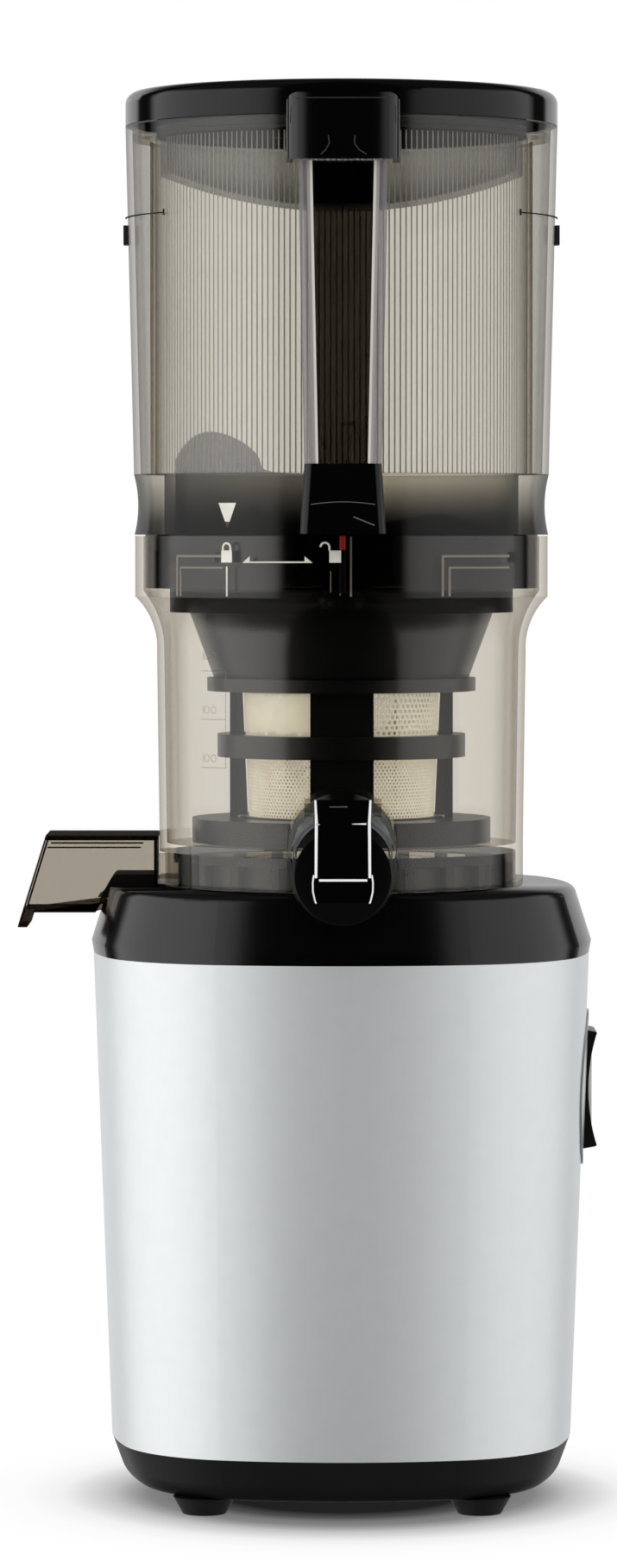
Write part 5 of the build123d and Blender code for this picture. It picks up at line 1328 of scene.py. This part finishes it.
floor_mesh = bmesh.new()
bmesh.ops.create_grid(
    floor_mesh, x_segments=FLOOR_CELLS, y_segments=FLOOR_CELLS, size=FLOOR_SIZE / 2
)
floor_data = bpy.data.meshes.new("floor")
floor_mesh.to_mesh(floor_data)
floor_mesh.free()
floor_data.materials.append(floor_material())
floor = bpy.data.objects.new("floor", floor_data)
bpy.context.scene.collection.objects.link(floor)
floor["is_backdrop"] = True

# ---------------------------------------------------------------- world

# How bright the studio is towards each azimuth, in degrees from the front, + towards +X
STUDIO = (
    (-179, 0.60),
    (-142, 1.10),
    (-137, 0.02),
    (-124, 0.02),
    (-117, 1.40),
    (-95, 1.50),
    (-66, 1.55),
    (-54, 1.50),
    (-43, 1.20),
    (-38, 0.85),
    (-33, 0.03),
    (-26, 0.0),
    (28, 0.0),
    (34, 0.03),
    (39, 0.60),
    (48, 0.85),
    (60, 0.95),
    (75, 1.00),
    (95, 1.05),
    (117, 1.05),
    (124, 0.02),
    (137, 0.02),
    (142, 1.00),
    (179, 0.60),
)
# Steep directions, upwards and downwards, fade to this level between two heights of the unit sphere
CEILING_START = 0.35
CEILING_END = 0.60
CEILING_LEVEL = 0.08


def studio_world():
    """White to the eye; shiny surfaces see a studio that is dark in front, bright at the sides."""
    world = bpy.data.worlds.new("studio")
    bpy.context.scene.world = world
    shader = Shader(world, "OutputWorld")
    axes = shader.split(shader.node("TexCoord").outputs["Generated"])
    azimuth = shader.calculate("ARCTAN2", axes["X"], shader.calculate("MULTIPLY", axes["Y"], -1.0))
    turn = shader.calculate("MULTIPLY_ADD", azimuth, 0.5 / math.pi, 0.5)
    around = shader.ramp(turn, *((0.5 + degrees / 360, grey(level)) for degrees, level in STUDIO))
    overhead = shader.scaled(
        shader.calculate("ABSOLUTE", axes["Z"]),
        1.0,
        CEILING_LEVEL,
        CEILING_START,
        CEILING_END,
        interpolation_type="SMOOTHSTEP",
    )
    path = shader.node("LightPath").outputs
    seen = shader.coloured("Background", grey(1)).outputs["Background"]
    mirrored = shader.coloured("Background", shader.product(around, overhead)).outputs["Background"]
    chosen = shader.blend(path["Is Glossy Ray"], seen, mirrored)
    for ray in ("Is Camera Ray", "Is Transmission Ray"):
        chosen = shader.blend(path[ray], chosen, seen)
    shader.end(chosen)


studio_world()

# ---------------------------------------------------------------- lamps and camera

LAMP_TARGET = Vector((0, 0, 0.26))
# name, azimuth from the front and elevation in degrees, distance, width, height, power in watts
SOFTBOXES = (
    ("softbox_left", -70, 12, 1.8, 1.5, 1.8, 7),
    ("softbox_right", 70, 12, 1.8, 1.5, 1.8, 5),
    ("softbox_top", 0, 80, 1.9, 1.6, 1.2, 4),
)
CAMERA_PLACE = (-11.8 * MM, -2.2, 344 * MM)
CAMERA_DOWN = 2.33  # degrees below level
CAMERA_LENS = 140.5
SENSOR_WIDTH = 36.0
CAMERA_REACH = 50.0


def softbox(name, azimuth, elevation, distance, width, height, power):
    """A rectangular lamp that faces the middle of the object."""
    data = bpy.data.lights.new(name, "AREA")
    data.shape = "RECTANGLE"
    data.size = width
    data.size_y = height
    data.energy = power
    lamp = bpy.data.objects.new(name, data)
    bpy.context.scene.collection.objects.link(lamp)
    a, e = math.radians(azimuth), math.radians(elevation)
    back = Vector((math.sin(a) * math.cos(e), -math.cos(a) * math.cos(e), math.sin(e)))
    lamp.location = LAMP_TARGET + back * distance
    lamp.rotation_mode = "QUATERNION"
    lamp.rotation_quaternion = back.to_track_quat("Z", "Y")
    lamp.visible_glossy = False


for lamp in SOFTBOXES:
    softbox(*lamp)

camera_data = bpy.data.cameras.new("camera")
camera_data.lens = CAMERA_LENS
camera_data.sensor_width = SENSOR_WIDTH
camera_data.clip_end = CAMERA_REACH
camera = bpy.data.objects.new("camera", camera_data)
bpy.context.scene.collection.objects.link(camera)
camera.location = CAMERA_PLACE
camera.rotation_euler = (math.radians(90 - CAMERA_DOWN), 0, 0)
bpy.context.scene.camera = camera

scene = bpy.context.scene
scene.view_settings.view_transform = "Standard"
scene.cycles.transparent_max_bounces = 48
scene.cycles.max_bounces = 10

low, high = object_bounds()
